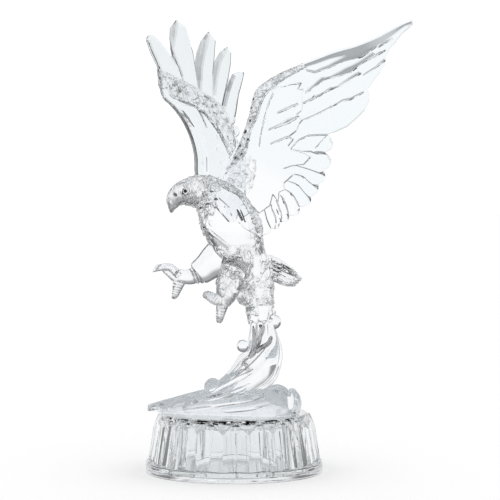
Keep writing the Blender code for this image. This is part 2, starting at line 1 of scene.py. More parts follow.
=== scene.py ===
"""Looks of a clear acrylic eagle that lands on a wave, on a hollow base with a ring of prisms.

Each piece stands for one CAD solid and keeps its form, in finer relief. Lengths of the base are in
metres. The eagle and the wave are carved in parts of the figure's height (1 part is 1 mm here), from
the deck up: the head points along -X and the left wing is on the -Y side.
"""

import logging
import math
from dataclasses import dataclass
from enum import Enum
from typing import Any, Callable, Optional, Sequence, Union

import bmesh
import bpy
import numpy as np
from mathutils import Matrix, Vector


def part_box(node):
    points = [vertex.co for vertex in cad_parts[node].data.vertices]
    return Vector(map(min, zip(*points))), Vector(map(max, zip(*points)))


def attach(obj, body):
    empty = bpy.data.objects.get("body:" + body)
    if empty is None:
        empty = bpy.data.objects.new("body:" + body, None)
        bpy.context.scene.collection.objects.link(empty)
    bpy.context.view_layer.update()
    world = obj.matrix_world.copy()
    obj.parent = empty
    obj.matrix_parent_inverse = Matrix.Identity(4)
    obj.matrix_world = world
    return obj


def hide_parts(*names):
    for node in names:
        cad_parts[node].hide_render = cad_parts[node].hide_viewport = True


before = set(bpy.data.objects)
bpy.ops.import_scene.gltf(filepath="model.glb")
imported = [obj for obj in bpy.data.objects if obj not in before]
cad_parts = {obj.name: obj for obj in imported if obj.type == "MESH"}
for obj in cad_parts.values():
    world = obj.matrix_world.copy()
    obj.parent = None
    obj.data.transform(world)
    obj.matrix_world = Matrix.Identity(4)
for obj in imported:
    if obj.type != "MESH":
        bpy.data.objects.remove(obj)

log = logging.getLogger("acrylic_eagle")

Relief = Callable[[np.ndarray, np.ndarray], np.ndarray]
Keys = Sequence[Sequence[float]]
Solid = bpy.types.Object

# Figure
FIGURE_HEIGHT = 0.2622
PARTS_IN_HEIGHT = 262.2
PART = FIGURE_HEIGHT / PARTS_IN_HEIGHT
GLUE_GAP = 0.0003
GAP_PARTS = GLUE_GAP / PART
DECK_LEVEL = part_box("base_shell")[1].z
SEAM_LEVEL = 71.0
WING_SEAT_DEPTH = 14.0
LEFT_PLANE = -WING_SEAT_DEPTH - 3.2
RIGHT_PLANE = WING_SEAT_DEPTH + 3.5

# Face attribute that says how finely a face is carved, from 0, polished, to 1; a value below zero,
# down to -1, is a share of painted shade that darkens the face in a cut or mark
CARVED_AND_PAINTED_SHADE = "carved"

# Face attribute that is 1 where clear glue fills the joint, so that light goes straight across
BONDED = "bonded"

# A glued face's normal has at least this share along its axis, and it lies this near its level
FLAT_ENOUGH = 0.999
LEVEL_SLACK = 2e-5

# Edges shorter than this are dropped
SLIVER = 2e-6

# The near, left side lies towards -Y and the far one towards +Y
SIDES = (-1.0, 1.0)

# Bevel and carved share of an outline's corner that doesn't give them
PLAIN_CORNER = (0.3, 0.0)


class Cut(Enum):
    """How a tool changes a solid."""

    JOIN = "UNION"
    TAKE = "DIFFERENCE"


def linear(value: str) -> tuple[float, float, float, float]:
    """Turn an sRGB hex colour into linear RGBA.

    Args:
        value: The colour, such as "#F3F8FB".

    Returns:
        Red, green, blue and alpha, from 0 to 1.
    """
    shares = [int(value[i:i + 2], 16) / 255 for i in (1, 3, 5)]
    red, green, blue = (s / 12.92 if s <= 0.04045 else ((s + 0.055) / 1.055) ** 2.4 for s in shares)
    return red, green, blue, 1.0


def add_node(tree: bpy.types.NodeTree, kind: str, settings: Optional[dict[str, Any]] = None,
             values: Optional[dict[Any, Any]] = None) -> bpy.types.Node:
    """Add a node with its settings, socket values and links.

    Args:
        tree: The tree that the node goes into.
        kind: The node's type name.
        settings: Attribute names and values.
        values: Input sockets by name or index, each with a constant or the output that feeds it.

    Returns:
        The new node.
    """
    node = tree.nodes.new(kind)
    for name, value in (settings or {}).items():
        setattr(node, name, value)
    for key, value in (values or {}).items():
        if isinstance(value, bpy.types.NodeSocket):
            tree.links.new(value, node.inputs[key])
        else:
            node.inputs[key].default_value = value
    return node


def bare_material(name: str) -> bpy.types.Material:
    """Make a material with an empty node tree.

    Args:
        name: The material's name.

    Returns:
        The material.
    """
    material = bpy.data.materials.new(name)
    material.use_nodes = True
    material.node_tree.nodes.clear()
    return material


@dataclass(frozen=True)
class MouldedAcrylic:
    """Clear PMMA, injection moulded: colourless with a breath of blue, glossy as the mould's steel.

    The flow ripple is the slight waviness that moulded acrylic keeps, which bends the lines seen
    through it. The tint is faintest round the gate, at the near shoulder. Where a face is carved,
    small cut facets catch grey, white and black by turns, with scored lines between them and plain
    clearings among them. Painted shade greys the carved faces and darkens the scored lines. A cut
    whose share is below zero is smooth, and painted shade makes it near black. Where clear glue
    fills a joint the index is 1, so that light goes straight across. Real facets and lines are
    finer, and are drawn coarser here so that they show.
    """

    name: str
    tint: str = "#F3F8FB"
    gate_tint: str = "#FBFCFD"
    gate: tuple[float, float, float] = (0.002, -0.018, 0.165)
    gate_reach: tuple[float, float] = (0.034, 0.052)
    # Painted shade: these tints grey the carved faces, darken the scored lines and make cuts near black
    carved_painted_shade: str = "#E4E6E8"
    line_painted_shade: str = "#9EA1A5"
    cut_painted_shade: str = "#2C2E31"
    ior: float = 1.49
    ripple_mm: float = 9.0
    ripple_depth_mm: float = 0.02
    ripple_thinning: float = 0.15
    facet_mm: float = 3.2
    facet_tilt: float = 0.62
    facet_lean_deg: float = -20.0
    facet_squeeze: float = 0.6
    line_width_mm: float = 0.38
    line_depth_mm: float = 0.24
    clearing_mm: float = 6.0
    clearing_edge: tuple[float, float] = (0.38, 0.52)
    clearing_share: float = 0.12
    haze: float = 0.004
    carved_haze: float = 0.02
    has_glued_joints: bool = False

    def carving(self, tree: bpy.types.NodeTree, place: bpy.types.NodeSocket) -> list[bpy.types.NodeSocket]:
        """Add the nodes that say how a spot is carved and how much painted shade it has.

        Args:
            tree: The material's node tree.
            place: Object coordinates.

        Returns:
            How finely the spot is carved, and its share of painted shade.
        """
        share = add_node(tree, "ShaderNodeAttribute", {"attribute_name": CARVED_AND_PAINTED_SHADE}).outputs["Fac"]
        patch = add_node(tree, "ShaderNodeTexNoise", values={
            "Vector": place, "Scale": 1000.0 / self.clearing_mm, "Detail": 1.0}).outputs["Fac"]
        worked = add_node(tree, "ShaderNodeMapRange", {"interpolation_type": "SMOOTHSTEP"}, {
            "Value": patch, "From Min": self.clearing_edge[0], "From Max": self.clearing_edge[1],
            "To Min": self.clearing_share, "To Max": 1.0}).outputs["Result"]
        raised = add_node(tree, "ShaderNodeMath", {"operation": "MAXIMUM"}, {0: share, 1: 0.0}).outputs[0]
        carved = add_node(tree, "ShaderNodeMath", {"operation": "MULTIPLY"}, {0: raised, 1: worked})
        # Painted shade: a share below zero becomes the share of the near black cut tint
        painted_shade = add_node(tree, "ShaderNodeMath", {"operation": "MULTIPLY", "use_clamp": True}, {
            0: share, 1: -1.0})
        return [carved.outputs[0], painted_shade.outputs[0]]

    def facets(self, tree: bpy.types.NodeTree, place: bpy.types.NodeSocket,
               carved: bpy.types.NodeSocket) -> list[bpy.types.NodeSocket]:
        """Add the nodes for the cut facets and the lines scored between them.

        Args:
            tree: The material's node tree.
            place: Object coordinates.
            carved: How finely the spot is carved.

        Returns:
            The normal of the carved surface, and the share of a scored line.
        """
        leaf = add_node(tree, "ShaderNodeMapping", values={
            "Vector": place, "Rotation": (0.0, math.radians(self.facet_lean_deg), 0.0),
            "Scale": (1.0, 1.0, self.facet_squeeze)}).outputs["Vector"]
        grain = {"Vector": leaf, "Scale": 1000.0 / self.facet_mm, "Randomness": 1.0}
        cells = add_node(tree, "ShaderNodeTexVoronoi", values=grain).outputs["Color"]
        centred = add_node(tree, "ShaderNodeVectorMath", {"operation": "SUBTRACT"}, {
            0: cells, 1: (0.5, 0.5, 0.5)}).outputs["Vector"]
        tilt = add_node(tree, "ShaderNodeMath", {"operation": "MULTIPLY"}, {0: carved, 1: self.facet_tilt})
        tilted = add_node(tree, "ShaderNodeVectorMath", {"operation": "SCALE"}, {
            0: centred, "Scale": tilt.outputs[0]}).outputs["Vector"]
        facing = add_node(tree, "ShaderNodeNewGeometry").outputs["Normal"]
        facet = add_node(tree, "ShaderNodeVectorMath", {"operation": "ADD"}, {0: facing, 1: tilted})
        cut = add_node(tree, "ShaderNodeVectorMath", {"operation": "NORMALIZE"}, {
            0: facet.outputs["Vector"]}).outputs["Vector"]
        border = add_node(tree, "ShaderNodeTexVoronoi", {"feature": "DISTANCE_TO_EDGE"}, grain)
        line = add_node(tree, "ShaderNodeMapRange", {"interpolation_type": "SMOOTHSTEP"}, {
            "Value": border.outputs["Distance"], "From Max": self.line_width_mm / self.facet_mm,
            "To Min": 1.0, "To Max": 0.0}).outputs["Result"]
        scored = add_node(tree, "ShaderNodeMath", {"operation": "MULTIPLY"}, {0: line, 1: carved}).outputs[0]
        score = add_node(tree, "ShaderNodeBump", {"invert": True}, {
            "Height": scored, "Distance": self.line_depth_mm / 1000.0, "Strength": 1.0, "Normal": cut})
        return [score.outputs["Normal"], scored]

    def colour(self, tree: bpy.types.NodeTree, place: bpy.types.NodeSocket, flow: bpy.types.NodeSocket,
               shares: Sequence[bpy.types.NodeSocket]) -> bpy.types.NodeSocket:
        """Add the nodes for the tint, with its painted shade.

        Args:
            tree: The material's node tree.
            place: Object coordinates.
            flow: The ripple, from 0 to 1.
            shares: How finely the spot is carved, how far it is a scored line and its painted shade.

        Returns:
            The colour.
        """
        away = add_node(tree, "ShaderNodeVectorMath", {"operation": "DISTANCE"}, {0: place, 1: self.gate})
        far = add_node(tree, "ShaderNodeMapRange", {"interpolation_type": "SMOOTHSTEP"}, {
            "Value": away.outputs["Value"], "From Min": self.gate_reach[0],
            "From Max": self.gate_reach[1]}).outputs["Result"]
        thinned = add_node(tree, "ShaderNodeMath", {"operation": "MULTIPLY_ADD"}, {
            0: flow, 1: -self.ripple_thinning, 2: 1.0}).outputs[0]
        depth = add_node(tree, "ShaderNodeMath", {"operation": "MULTIPLY"}, {0: far, 1: thinned}).outputs[0]
        colour = linear(self.gate_tint)
        # Mix in the painted shade: grey on carved faces, darker on scored lines, near black in cuts
        tints = (self.tint, self.carved_painted_shade, self.line_painted_shade, self.cut_painted_shade)
        for share, tint in zip((depth, *shares), tints):
            colour = add_node(tree, "ShaderNodeMix", {"data_type": "RGBA"}, {
                0: share, 6: colour, 7: linear(tint)}).outputs[2]
        return colour

    def material(self) -> bpy.types.Material:
        """Build the finish's material.

        Returns:
            The material.
        """
        material = bare_material(self.name)
        tree = material.node_tree
        place = add_node(tree, "ShaderNodeTexCoord").outputs["Object"]
        carved, painted_shade = self.carving(tree, place)
        score, scored = self.facets(tree, place, carved)
        ripple = add_node(tree, "ShaderNodeTexNoise", values={
            "Vector": place, "Scale": 1000.0 / self.ripple_mm, "Detail": 1.0}).outputs["Fac"]
        normal = add_node(tree, "ShaderNodeBump", values={
            "Height": ripple, "Distance": self.ripple_depth_mm / 1000.0, "Strength": 1.0,
            "Normal": score}).outputs["Normal"]
        flow = add_node(tree, "ShaderNodeMapRange", values={
            "Value": ripple, "From Min": 0.3, "From Max": 0.7}).outputs["Result"]
        faint = add_node(tree, "ShaderNodeMath", {"operation": "MULTIPLY"}, {0: flow, 1: self.haze})
        haze = add_node(tree, "ShaderNodeMath", {"operation": "MULTIPLY_ADD"}, {
            0: carved, 1: self.carved_haze, 2: faint.outputs[0]}).outputs[0]
        bending = self.ior
        if self.has_glued_joints:
            glued = add_node(tree, "ShaderNodeAttribute", {"attribute_name": BONDED}).outputs["Fac"]
            bending = add_node(tree, "ShaderNodeMapRange", values={
                "Value": glued, "To Min": self.ior, "To Max": 1.0}).outputs["Result"]
        shader = add_node(tree, "ShaderNodeBsdfPrincipled", values={
            "Base Color": self.colour(tree, place, flow, (carved, scored, painted_shade)), "IOR": bending,
            "Transmission Weight": 1.0, "Roughness": haze, "Normal": normal})
        add_node(tree, "ShaderNodeOutputMaterial", values={"Surface": shader.outputs["BSDF"]})
        return material


@dataclass(frozen=True)
class BlackEnamel:
    """Black enamel dotted on by brush: near black, glossy, a little uneven."""

    name: str = "black_enamel_dot"
    colour: str = "#0B0B0C"
    worn_colour: str = "#1A1A1C"
    fleck_mm: float = 0.6
    gloss: float = 0.12
    worn_gloss: float = 0.3
    ior: float = 1.5

    def material(self) -> bpy.types.Material:
        """Build the finish's material.

        Returns:
            The material.
        """
        material = bare_material(self.name)
        tree = material.node_tree
        place = add_node(tree, "ShaderNodeTexCoord").outputs["Object"]
        fleck = add_node(tree, "ShaderNodeTexNoise", values={
            "Vector": place, "Scale": 1000.0 / self.fleck_mm, "Detail": 2.0}).outputs["Fac"]
        colour = add_node(tree, "ShaderNodeMix", {"data_type": "RGBA"}, {
            0: fleck, 6: linear(self.colour), 7: linear(self.worn_colour)})
        haze = add_node(tree, "ShaderNodeMapRange", values={
            "Value": fleck, "To Min": self.gloss, "To Max": self.worn_gloss})
        shader = add_node(tree, "ShaderNodeBsdfPrincipled", values={
            "Base Color": colour.outputs[2], "Roughness": haze.outputs["Result"], "IOR": self.ior})
        add_node(tree, "ShaderNodeOutputMaterial", values={"Surface": shader.outputs["BSDF"]})
        return material


@dataclass(frozen=True)
class StudioPaper:
    """Matt white paper on a light table: even and pale, with a faint tooth.

    A lamp below the figurine's base shines up through the clear acrylic, in a round patch as wide as
    the base. Outside it the table glows evenly and faintly.
    """

    name: str = "studio_paper"
    colour: str = "#D9D9D9"
    tooth_colour: str = "#D6D6D7"
    tooth_mm: float = 3.0
    lit_from_below: float = 0.42
    lamp_strength: float = 0.85
    lamp_radius: float = 0.052
    lamp_fade: float = 1.25

    def material(self) -> bpy.types.Material:
        """Build the finish's material.

        Returns:
            The material.
        """
        material = bare_material(self.name)
        tree = material.node_tree
        place = add_node(tree, "ShaderNodeTexCoord").outputs["Object"]
        tooth = add_node(tree, "ShaderNodeTexNoise", values={
            "Vector": place, "Scale": 1000.0 / self.tooth_mm, "Detail": 1.0}).outputs["Fac"]
        colour = add_node(tree, "ShaderNodeMix", {"data_type": "RGBA"}, {
            0: tooth, 6: linear(self.colour), 7: linear(self.tooth_colour)})
        away = add_node(tree, "ShaderNodeVectorMath", {"operation": "LENGTH"}, {0: place})
        lamp = add_node(tree, "ShaderNodeMapRange", {"interpolation_type": "SMOOTHSTEP"}, {
            "Value": away.outputs["Value"], "From Min": self.lamp_radius,
            "From Max": self.lamp_radius * self.lamp_fade, "To Min": self.lamp_strength,
            "To Max": self.lit_from_below})
        shader = add_node(tree, "ShaderNodeBsdfPrincipled", values={
            "Base Color": colour.outputs[2], "Roughness": 1.0, "Specular IOR Level": 0.0,
            "Emission Color": linear(self.colour), "Emission Strength": lamp.outputs["Result"]})
        add_node(tree, "ShaderNodeOutputMaterial", values={"Surface": shader.outputs["BSDF"]})
        return material


def to_metres(points: np.ndarray) -> np.ndarray:
    """Take figure points from parts to metres and stand them on the deck."""
    return points * PART + np.array([0.0, 0.0, DECK_LEVEL + GLUE_GAP])


def level_in_metres(level: float) -> float:
    """Return the height in metres of a level in parts."""
    return float(to_metres(np.array([0.0, 0.0, level]))[2])


def off_front(angle: np.ndarray) -> np.ndarray:
    """Return how far angles around a limb lie from its front, in degrees."""
    return np.degrees(np.abs((angle + math.pi) % math.tau - math.pi))


def smooth_rows(keys: Keys, steps: int) -> tuple[np.ndarray, np.ndarray]:
    """Run a smooth curve through rows of numbers.

    Args:
        keys: Rows that the curve passes through.
        steps: Rows made for each key.

    Returns:
        The place of each new row, counted in keys, and the new rows.
    """
    rows = np.array(keys, float)
    ends = np.vstack([2 * rows[0] - rows[1], rows, 2 * rows[-1] - rows[-2]])
    places = np.arange((len(rows) - 1) * steps + 1) / steps
    low = np.minimum(places.astype(int), len(rows) - 2)
    t = (places - low)[:, None]
    a, b, c, d = (ends[low + i] for i in range(4))
    bent = 2 * a - 5 * b + 4 * c - d
    curve = b + t * (c - a) / 2 + t * t * bent / 2 + t ** 3 * (3 * b - a - 3 * c + d) / 2
    return places, curve


def chance(row: np.ndarray, column: np.ndarray, seed: float = 0.0) -> np.ndarray:
    """Give each cell of a pattern a fixed number from 0 to 1."""
    return np.abs(np.sin(row * 12.9898 + column * 78.233 + seed * 37.719) * 43758.5453) % 1.0


def mesh_object(name: str, points: np.ndarray, faces: Sequence[Sequence[int]], carved: Any = 0.0) -> Solid:
    """Make an object from points and faces.

    Args:
        name: Name of the object.
        points: Rows of (x, y, z).
        faces: The points of each face, by index.
        carved: Share by which the faces are carved, one number or one for each face.

    Returns:
        The object, in no collection yet.
    """
    mesh = bpy.data.meshes.new(name)
    mesh.from_pydata(np.asarray(points, float).tolist(), [], faces)
    shares = np.broadcast_to(np.asarray(carved, float), (len(faces),))
    mesh.attributes.new(CARVED_AND_PAINTED_SHADE, "FLOAT", "FACE").data.foreach_set("value", np.array(shares))
    return bpy.data.objects.new(name, mesh)


def skin(name: str, rings: np.ndarray, carved: Any = 0.0) -> Solid:
    """Skin rings of points into one closed solid with flat ends.

    Args:
        name: Name of the new object.
        rings: Points, as rings by points by 3.
        carved: Share by which the faces are carved, one number or one for each gap of rings and side.

    Returns:
        The solid's object, in no collection yet.
    """
    count, sides = rings.shape[:2]
    corners = rings.reshape(-1, 3)
    i, j = np.meshgrid(np.arange(count - 1), np.arange(sides), indexing="ij")
    k = (j + 1) % sides
    quads = np.stack([i * sides + j, i * sides + k, (i + 1) * sides + k, (i + 1) * sides + j], -1)
    quads = quads.reshape(-1, 4)
    halves = np.vstack([quads[:, [0, 1, 2]], quads[:, [0, 2, 3]]])
    ring = np.arange(sides)
    top = (count - 1) * sides
    low, high = len(corners), len(corners) + 1
    caps = np.vstack([
        np.stack([np.full(sides, low), (ring + 1) % sides, ring], -1),
        np.stack([np.full(sides, high), top + ring, top + (ring + 1) % sides], -1),
    ])
    points = np.vstack([corners, rings[0].mean(0), rings[-1].mean(0)])
    faces = np.vstack([halves, caps])
    first, second, third = (points[faces[:, n]] - points[0] for n in range(3))
    if np.einsum("ij,ij->i", first, np.cross(second, third)).sum() < 0.0:
        faces = faces[:, ::-1]
    share = np.broadcast_to(np.asarray(carved, float), (count - 1, sides)).reshape(-1)
    return mesh_object(name, points, faces.tolist(), np.concatenate([share, share, np.zeros(2 * sides)]))


def combine(target: Solid, tools: Sequence[Solid], cut: Cut) -> None:
    """Join tools to a solid, or take them away from it, and delete the tools.

    Args:
        target: The solid, whose mesh is replaced.
        tools: The solids that act on it.
        cut: Whether they are joined or taken away.
    """
    shelf = bpy.data.collections.new("shelf")
    bpy.context.scene.collection.children.link(shelf)
    if target.name not in bpy.context.scene.collection.objects:
        bpy.context.scene.collection.objects.link(target)
    for tool in tools:
        shelf.objects.link(tool)
    step = target.modifiers.new("cut", "BOOLEAN")
    step.operation = cut.value
    step.operand_type = "COLLECTION"
    step.collection = shelf
    step.solver = "MANIFOLD"
    graph = bpy.context.evaluated_depsgraph_get()
    mesh = bpy.data.meshes.new_from_object(target.evaluated_get(graph))
    target.modifiers.remove(step)
    target.data = mesh
    for tool in tools:
        bpy.data.objects.remove(tool)
    bpy.data.collections.remove(shelf)


def bond(piece: Solid, axis: int, levels: Sequence[float], reach: float = 1.0) -> None:
    """Mark the flat faces of a piece that are glued to another.

    Args:
        piece: The finished piece, in metres.
        axis: 0, 1 or 2 for faces that look along X, Y or Z.
        levels: Where the glued faces lie on that axis.
        reach: Radius about the Z axis inside which faces are free.
    """
    polygons = piece.data.polygons
    centres, normals = np.empty(3 * len(polygons)), np.empty(3 * len(polygons))
    polygons.foreach_get("center", centres)
    polygons.foreach_get("normal", normals)
    centres, normals = centres.reshape(-1, 3), normals.reshape(-1, 3)
    flat = np.abs(normals[:, axis]) > FLAT_ENOUGH
    near = np.abs(centres[:, axis:axis + 1] - np.array(levels)[None, :]).min(1) < LEVEL_SLACK
    outside = np.hypot(centres[:, 0], centres[:, 1]) > reach if reach < 1.0 else True
    share = (flat & near & outside).astype(float)
    piece.data.attributes.new(BONDED, "FLOAT", "FACE").data.foreach_set("value", share)


def settle(piece: Solid, crease_deg: float) -> None:
    """Fill sealed pockets, drop slivers and shade smoothly between creases.

    Args:
        piece: The finished solid.
        crease_deg: Faces that meet at more than this angle keep a sharp edge.
    """
    shape = bmesh.new()
    shape.from_mesh(piece.data)
    bmesh.ops.triangulate(shape, faces=shape.faces)
    bmesh.ops.dissolve_degenerate(shape, dist=SLIVER, edges=shape.edges)
    left = set(shape.verts)
    pockets: list[bmesh.types.BMVert] = []
    while left:
        island = {left.pop()}
        front = list(island)
        while front:
            for edge in front.pop().link_edges:
                for vertex in edge.verts:
                    if vertex in left:
                        left.remove(vertex)
                        island.add(vertex)
                        front.append(vertex)
        faces = {face for vertex in island for face in vertex.link_faces}
        volume = sum(face.verts[0].co.dot(face.verts[1].co.cross(face.verts[2].co)) for face in faces)
        if volume <= 0.0:
            pockets.extend(island)
    bmesh.ops.delete(shape, geom=pockets, context="VERTS")
    shape.to_mesh(piece.data)
    shape.free()
    mesh = piece.data
    mesh.name = piece.name
    mesh.polygons.foreach_set("use_smooth", [True] * len(mesh.polygons))
    mesh.set_sharp_from_angle(angle=math.radians(crease_deg))


def hand_over(piece: Solid, finish: bpy.types.Material, nodes: Sequence[str]) -> None:
    """Dress a finished piece and let it ride in place of its CAD nodes.

    Args:
        piece: The finished piece.
        finish: Its material.
        nodes: The CAD nodes that it stands for.
    """
    if piece.name not in bpy.context.scene.collection.objects:
        bpy.context.scene.collection.objects.link(piece)
    piece.data.materials.clear()
    piece.data.materials.append(finish)
    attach(piece, "root")
    if nodes:
        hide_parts(*nodes)
    piece.data.calc_loop_triangles()
    log.info("%s: %d triangles", piece.name, len(piece.data.loop_triangles))


def bead(centre: Sequence[float], radius: float, stretch: Sequence[float] = (1.0, 1.0, 1.0),
         fineness: int = 4, rough: float = 0.0, carved: float = 0.0) -> Solid:
    """Make a round bead, or a lump if it is rough.

    Args:
        centre: Middle of the bead, in parts.
        radius: Radius in parts.
        stretch: Scale along X, Y and Z.
        fineness: Times that the ball is divided.
        rough: Share of the radius by which corners stand in or out.
        carved: Share by which the faces are carved.

    Returns:
        The bead's object.
    """
    shape = bmesh.new()
    bmesh.ops.create_icosphere(shape, subdivisions=fineness, radius=1.0)
    points = np.array([vertex.co for vertex in shape.verts])
    index = np.arange(len(points))
    points *= (1.0 + rough * (chance(index, index * 3.0) - 0.5))[:, None]
    points = to_metres(points * np.array(stretch) * radius + np.array(centre))
    faces = [[vertex.index for vertex in face.verts] for face in shape.faces]
    shape.free()
    return mesh_object("bead", points, faces, carved)


def block(low: Sequence[float], high: Sequence[float]) -> Solid:
    """Make a box.

    Args:
        low: Its lowest corner, in parts.
        high: Its highest corner.

    Returns:
        The box's object.
    """
    (x0, y0, z0), (x1, y1, z1) = low, high
    ring = [(x0, y0), (x1, y0), (x1, y1), (x0, y1)]
    return skin("block", to_metres(np.array([[(x, y, z) for x, y in ring] for z in (z0, z1)])))


def tube(keys: Keys, radius: float, steps: int = 4, sides: int = 8, ends: float = 0.5,
         carved: float = 0.0) -> Solid:
    """Make a round bar, thinner at its ends.

    Args:
        keys: The points that it passes through, in parts.
        radius: Its radius in the middle.
        steps: Rings made for each point.
        sides: Sides of a ring.
        ends: Share of the radius that is left at its ends.
        carved: Share by which the faces are carved.

    Returns:
        The bar's object.
    """
    places, points = smooth_rows(keys, steps)
    along = np.gradient(points, axis=0)
    along /= np.linalg.norm(along, axis=1)[:, None]
    guide = np.eye(3)[np.argmin(np.abs(along).max(0))]
    first = np.cross(along, guide)
    first /= np.linalg.norm(first, axis=1)[:, None]
    second = np.cross(along, first)
    share = places / places[-1]
    size = radius * (ends + (1.0 - ends) * np.sqrt(np.clip(1.0 - (2.0 * share - 1.0) ** 4, 0.0, 1.0)))
    angles = np.arange(sides) * math.tau / sides
    rings = points[:, None] + size[:, None, None] * (
        first[:, None] * np.cos(angles)[None, :, None] + second[:, None] * np.sin(angles)[None, :, None])
    return skin("tube", to_metres(rings), carved)


def shingles(rows: float, columns: int, rise: float, first: float = 0.0, last: float = 99.0,
             mask: Optional[Relief] = None, seed: float = 0.0) -> Relief:
    """Make a relief of small overlapping feathers.

    Args:
        rows: Rows of feathers for each station of the limb.
        columns: Feathers around the limb.
        rise: Height of a feather's tip, in parts.
        first: Station where the feathers start.
        last: Station where they end.
        mask: Share of the height that is kept at each place.
        seed: Picks another set of uneven feathers.

    Returns:
        A function that gives the height at stations and angles.
    """
    def relief(station: np.ndarray, angle: np.ndarray) -> np.ndarray:
        """Return the height at each station and angle.

        Args:
            station: Places along the limb.
            angle: Angles around it.

        Returns:
            The heights, in parts.
        """
        along = station * rows
        height = np.zeros(np.broadcast(station, angle).shape)
        for back in (0.0, 1.0):
            row = np.floor(along) - back
            around = angle / math.tau * columns + 0.5 * (row % 2.0)
            column = np.floor(around)
            across = np.abs((around - column) * 2.0 - 1.0)
            luck = chance(row, column % columns, seed)
            share = (along - row) / (1.45 + 0.4 * luck)
            inside = share < 1.0 - 0.5 * across ** 1.7
            quill = 1.0 - 0.4 * across
            tip = rise * (0.65 + 0.5 * luck) * share * quill
            height = np.where(inside, np.maximum(height, tip), height)
        height = np.where((station >= first) & (station <= last), height, 0.0)
        return height * mask(station, angle) if mask else height
    return relief


class Limb:
    """Ellipses lofted along a smooth path, such as the trunk, a leg or a toe.

    Each station is (x, y, z, radius in the eagle's length plane, radius across it), in parts. Angle 0
    of a ring is on the left of the path's heading in that plane, and a quarter turn is on the +Y side.
    """

    def __init__(self, stations: Keys, steps: int = 6) -> None:
        """Run a smooth path through the stations.

        Args:
            stations: Rows of (x, y, z, radius, radius), in parts.
            steps: Rings made for each station.
        """
        self.steps = steps
        self.places, rows = smooth_rows(stations, steps)
        self.centres = rows[:, :3]
        self.radii = np.maximum(rows[:, 3:5], 0.3)
        along = np.gradient(self.centres, axis=0)
        along /= np.linalg.norm(along, axis=1)[:, None]
        across = np.array([0.0, 1.0, 0.0]) - along * along[:, 1:2]
        self.across = across / np.linalg.norm(across, axis=1)[:, None]
        self.inward = np.cross(self.across, along)

    def surface(self, station: float, degrees: float, lift: float = 0.0) -> np.ndarray:
        """Find a point on the surface.

        Args:
            station: Place along the limb.
            degrees: Angle around it.
            lift: Height over the surface.

        Returns:
            The point, in parts.
        """
        place = min(max(station * self.steps, 0.0), len(self.centres) - 1.001)
        low, share = int(place), place % 1.0
        angle = math.radians(degrees)
        spots = [
            self.centres[n] + self.inward[n] * math.cos(angle) * (self.radii[n, 0] + lift)
            + self.across[n] * math.sin(angle) * (self.radii[n, 1] + lift) for n in (low, low + 1)]
        return spots[0] * (1.0 - share) + spots[1] * share

    def solid(self, sides: int, relief: Optional[Relief] = None, reach: Optional[Relief] = None,
              carved: Union[Relief, float] = 0.0, twist: float = 0.0) -> Solid:
        """Loft the rings.

        Args:
            sides: Sides of a ring.
            relief: Height that is added to the radius, in parts.
            reach: Scale of the radius.
            carved: Share by which the faces are carved, one number or a function of the place.
            twist: Turns of the mesh for each station, so that it follows a twisted form.

        Returns:
            The limb's object.
        """
        station = self.places[:, None]
        angle = np.arange(sides)[None, :] * math.tau / sides + math.tau * twist * station
        lift = relief(station, angle) if relief else np.zeros((len(station), sides))
        scale = reach(station, angle) if reach else np.ones((len(station), sides))
        in_plane = np.cos(angle) * (self.radii[:, :1] * scale + lift)
        out_of_plane = np.sin(angle) * (self.radii[:, 1:] * scale + lift)
        rings = self.centres[:, None] + self.inward[:, None] * in_plane[..., None]
        rings = rings + self.across[:, None] * out_of_plane[..., None]
        share = carved(station, angle) if callable(carved) else carved
        return skin("limb", to_metres(rings), np.broadcast_to(share, lift.shape)[:-1])

    def groove(self, spots: Keys, radius: float, painted_shade: float = 0.0) -> Solid:
        """Make a tool that engraves a line through (station, degrees) or (station, degrees, lift) spots."""
        # The walls that the tool cuts take its painted shade, as a negative carved share
        return tube([self.surface(*spot) for spot in spots], radius, carved=-painted_shade)

    def plume(self, start: float, end: float, degrees: float, half_width: float, rise: float,
              carved: float = 0.8) -> Solid:
        """Make one pointed feather that lies along the limb with its tip lifted.

        Args:
            start: Station of its root.
            end: Station of its tip.
            degrees: Its angle around the limb.
            half_width: Half its width, in degrees.
            rise: Height of its tip, in parts.
            carved: Share by which it is carved.

        Returns:
            The feather's object.
        """
        rings = []
        keys = ((0.0, 0.7, -0.5), (0.3, 0.95, 0.3), (0.55, 1.0, 0.75), (0.78, 0.8, 0.95), (1.0, 0.12, 1.0))
        for share, width, lift in smooth_rows(keys, 2)[1]:
            section = ((-1.0, -0.5), (-0.8, lift * rise * 0.6), (0.0, lift * rise), (0.8, lift * rise * 0.6),
                       (1.0, -0.5), (0.0, -2.0))
            place = start + (end - start) * share
            rings.append([self.surface(place, degrees + half_width * width * side, height)
                          for side, height in section])
        return skin("plume", to_metres(np.array(rings)), carved)

    def plumage(self, rows: Keys) -> list[Solid]:
        """Make rows of pointed feathers around the limb.

        Args:
            rows: Rows of (start, end, first angle, last angle, count, rise).

        Returns:
            The feathers.
        """
        feathers = []
        for start, end, first, last, count, rise in rows:
            step = (last - first) / max(count - 1, 1)
            for i in range(int(count)):
                luck = float(chance(np.array(start), np.array(float(i))))
                feathers.append(self.plume(start, end + 0.25 * (luck - 0.5), first + step * i,
                                           step * 0.55 if count > 1 else 18.0, rise))
        return feathers


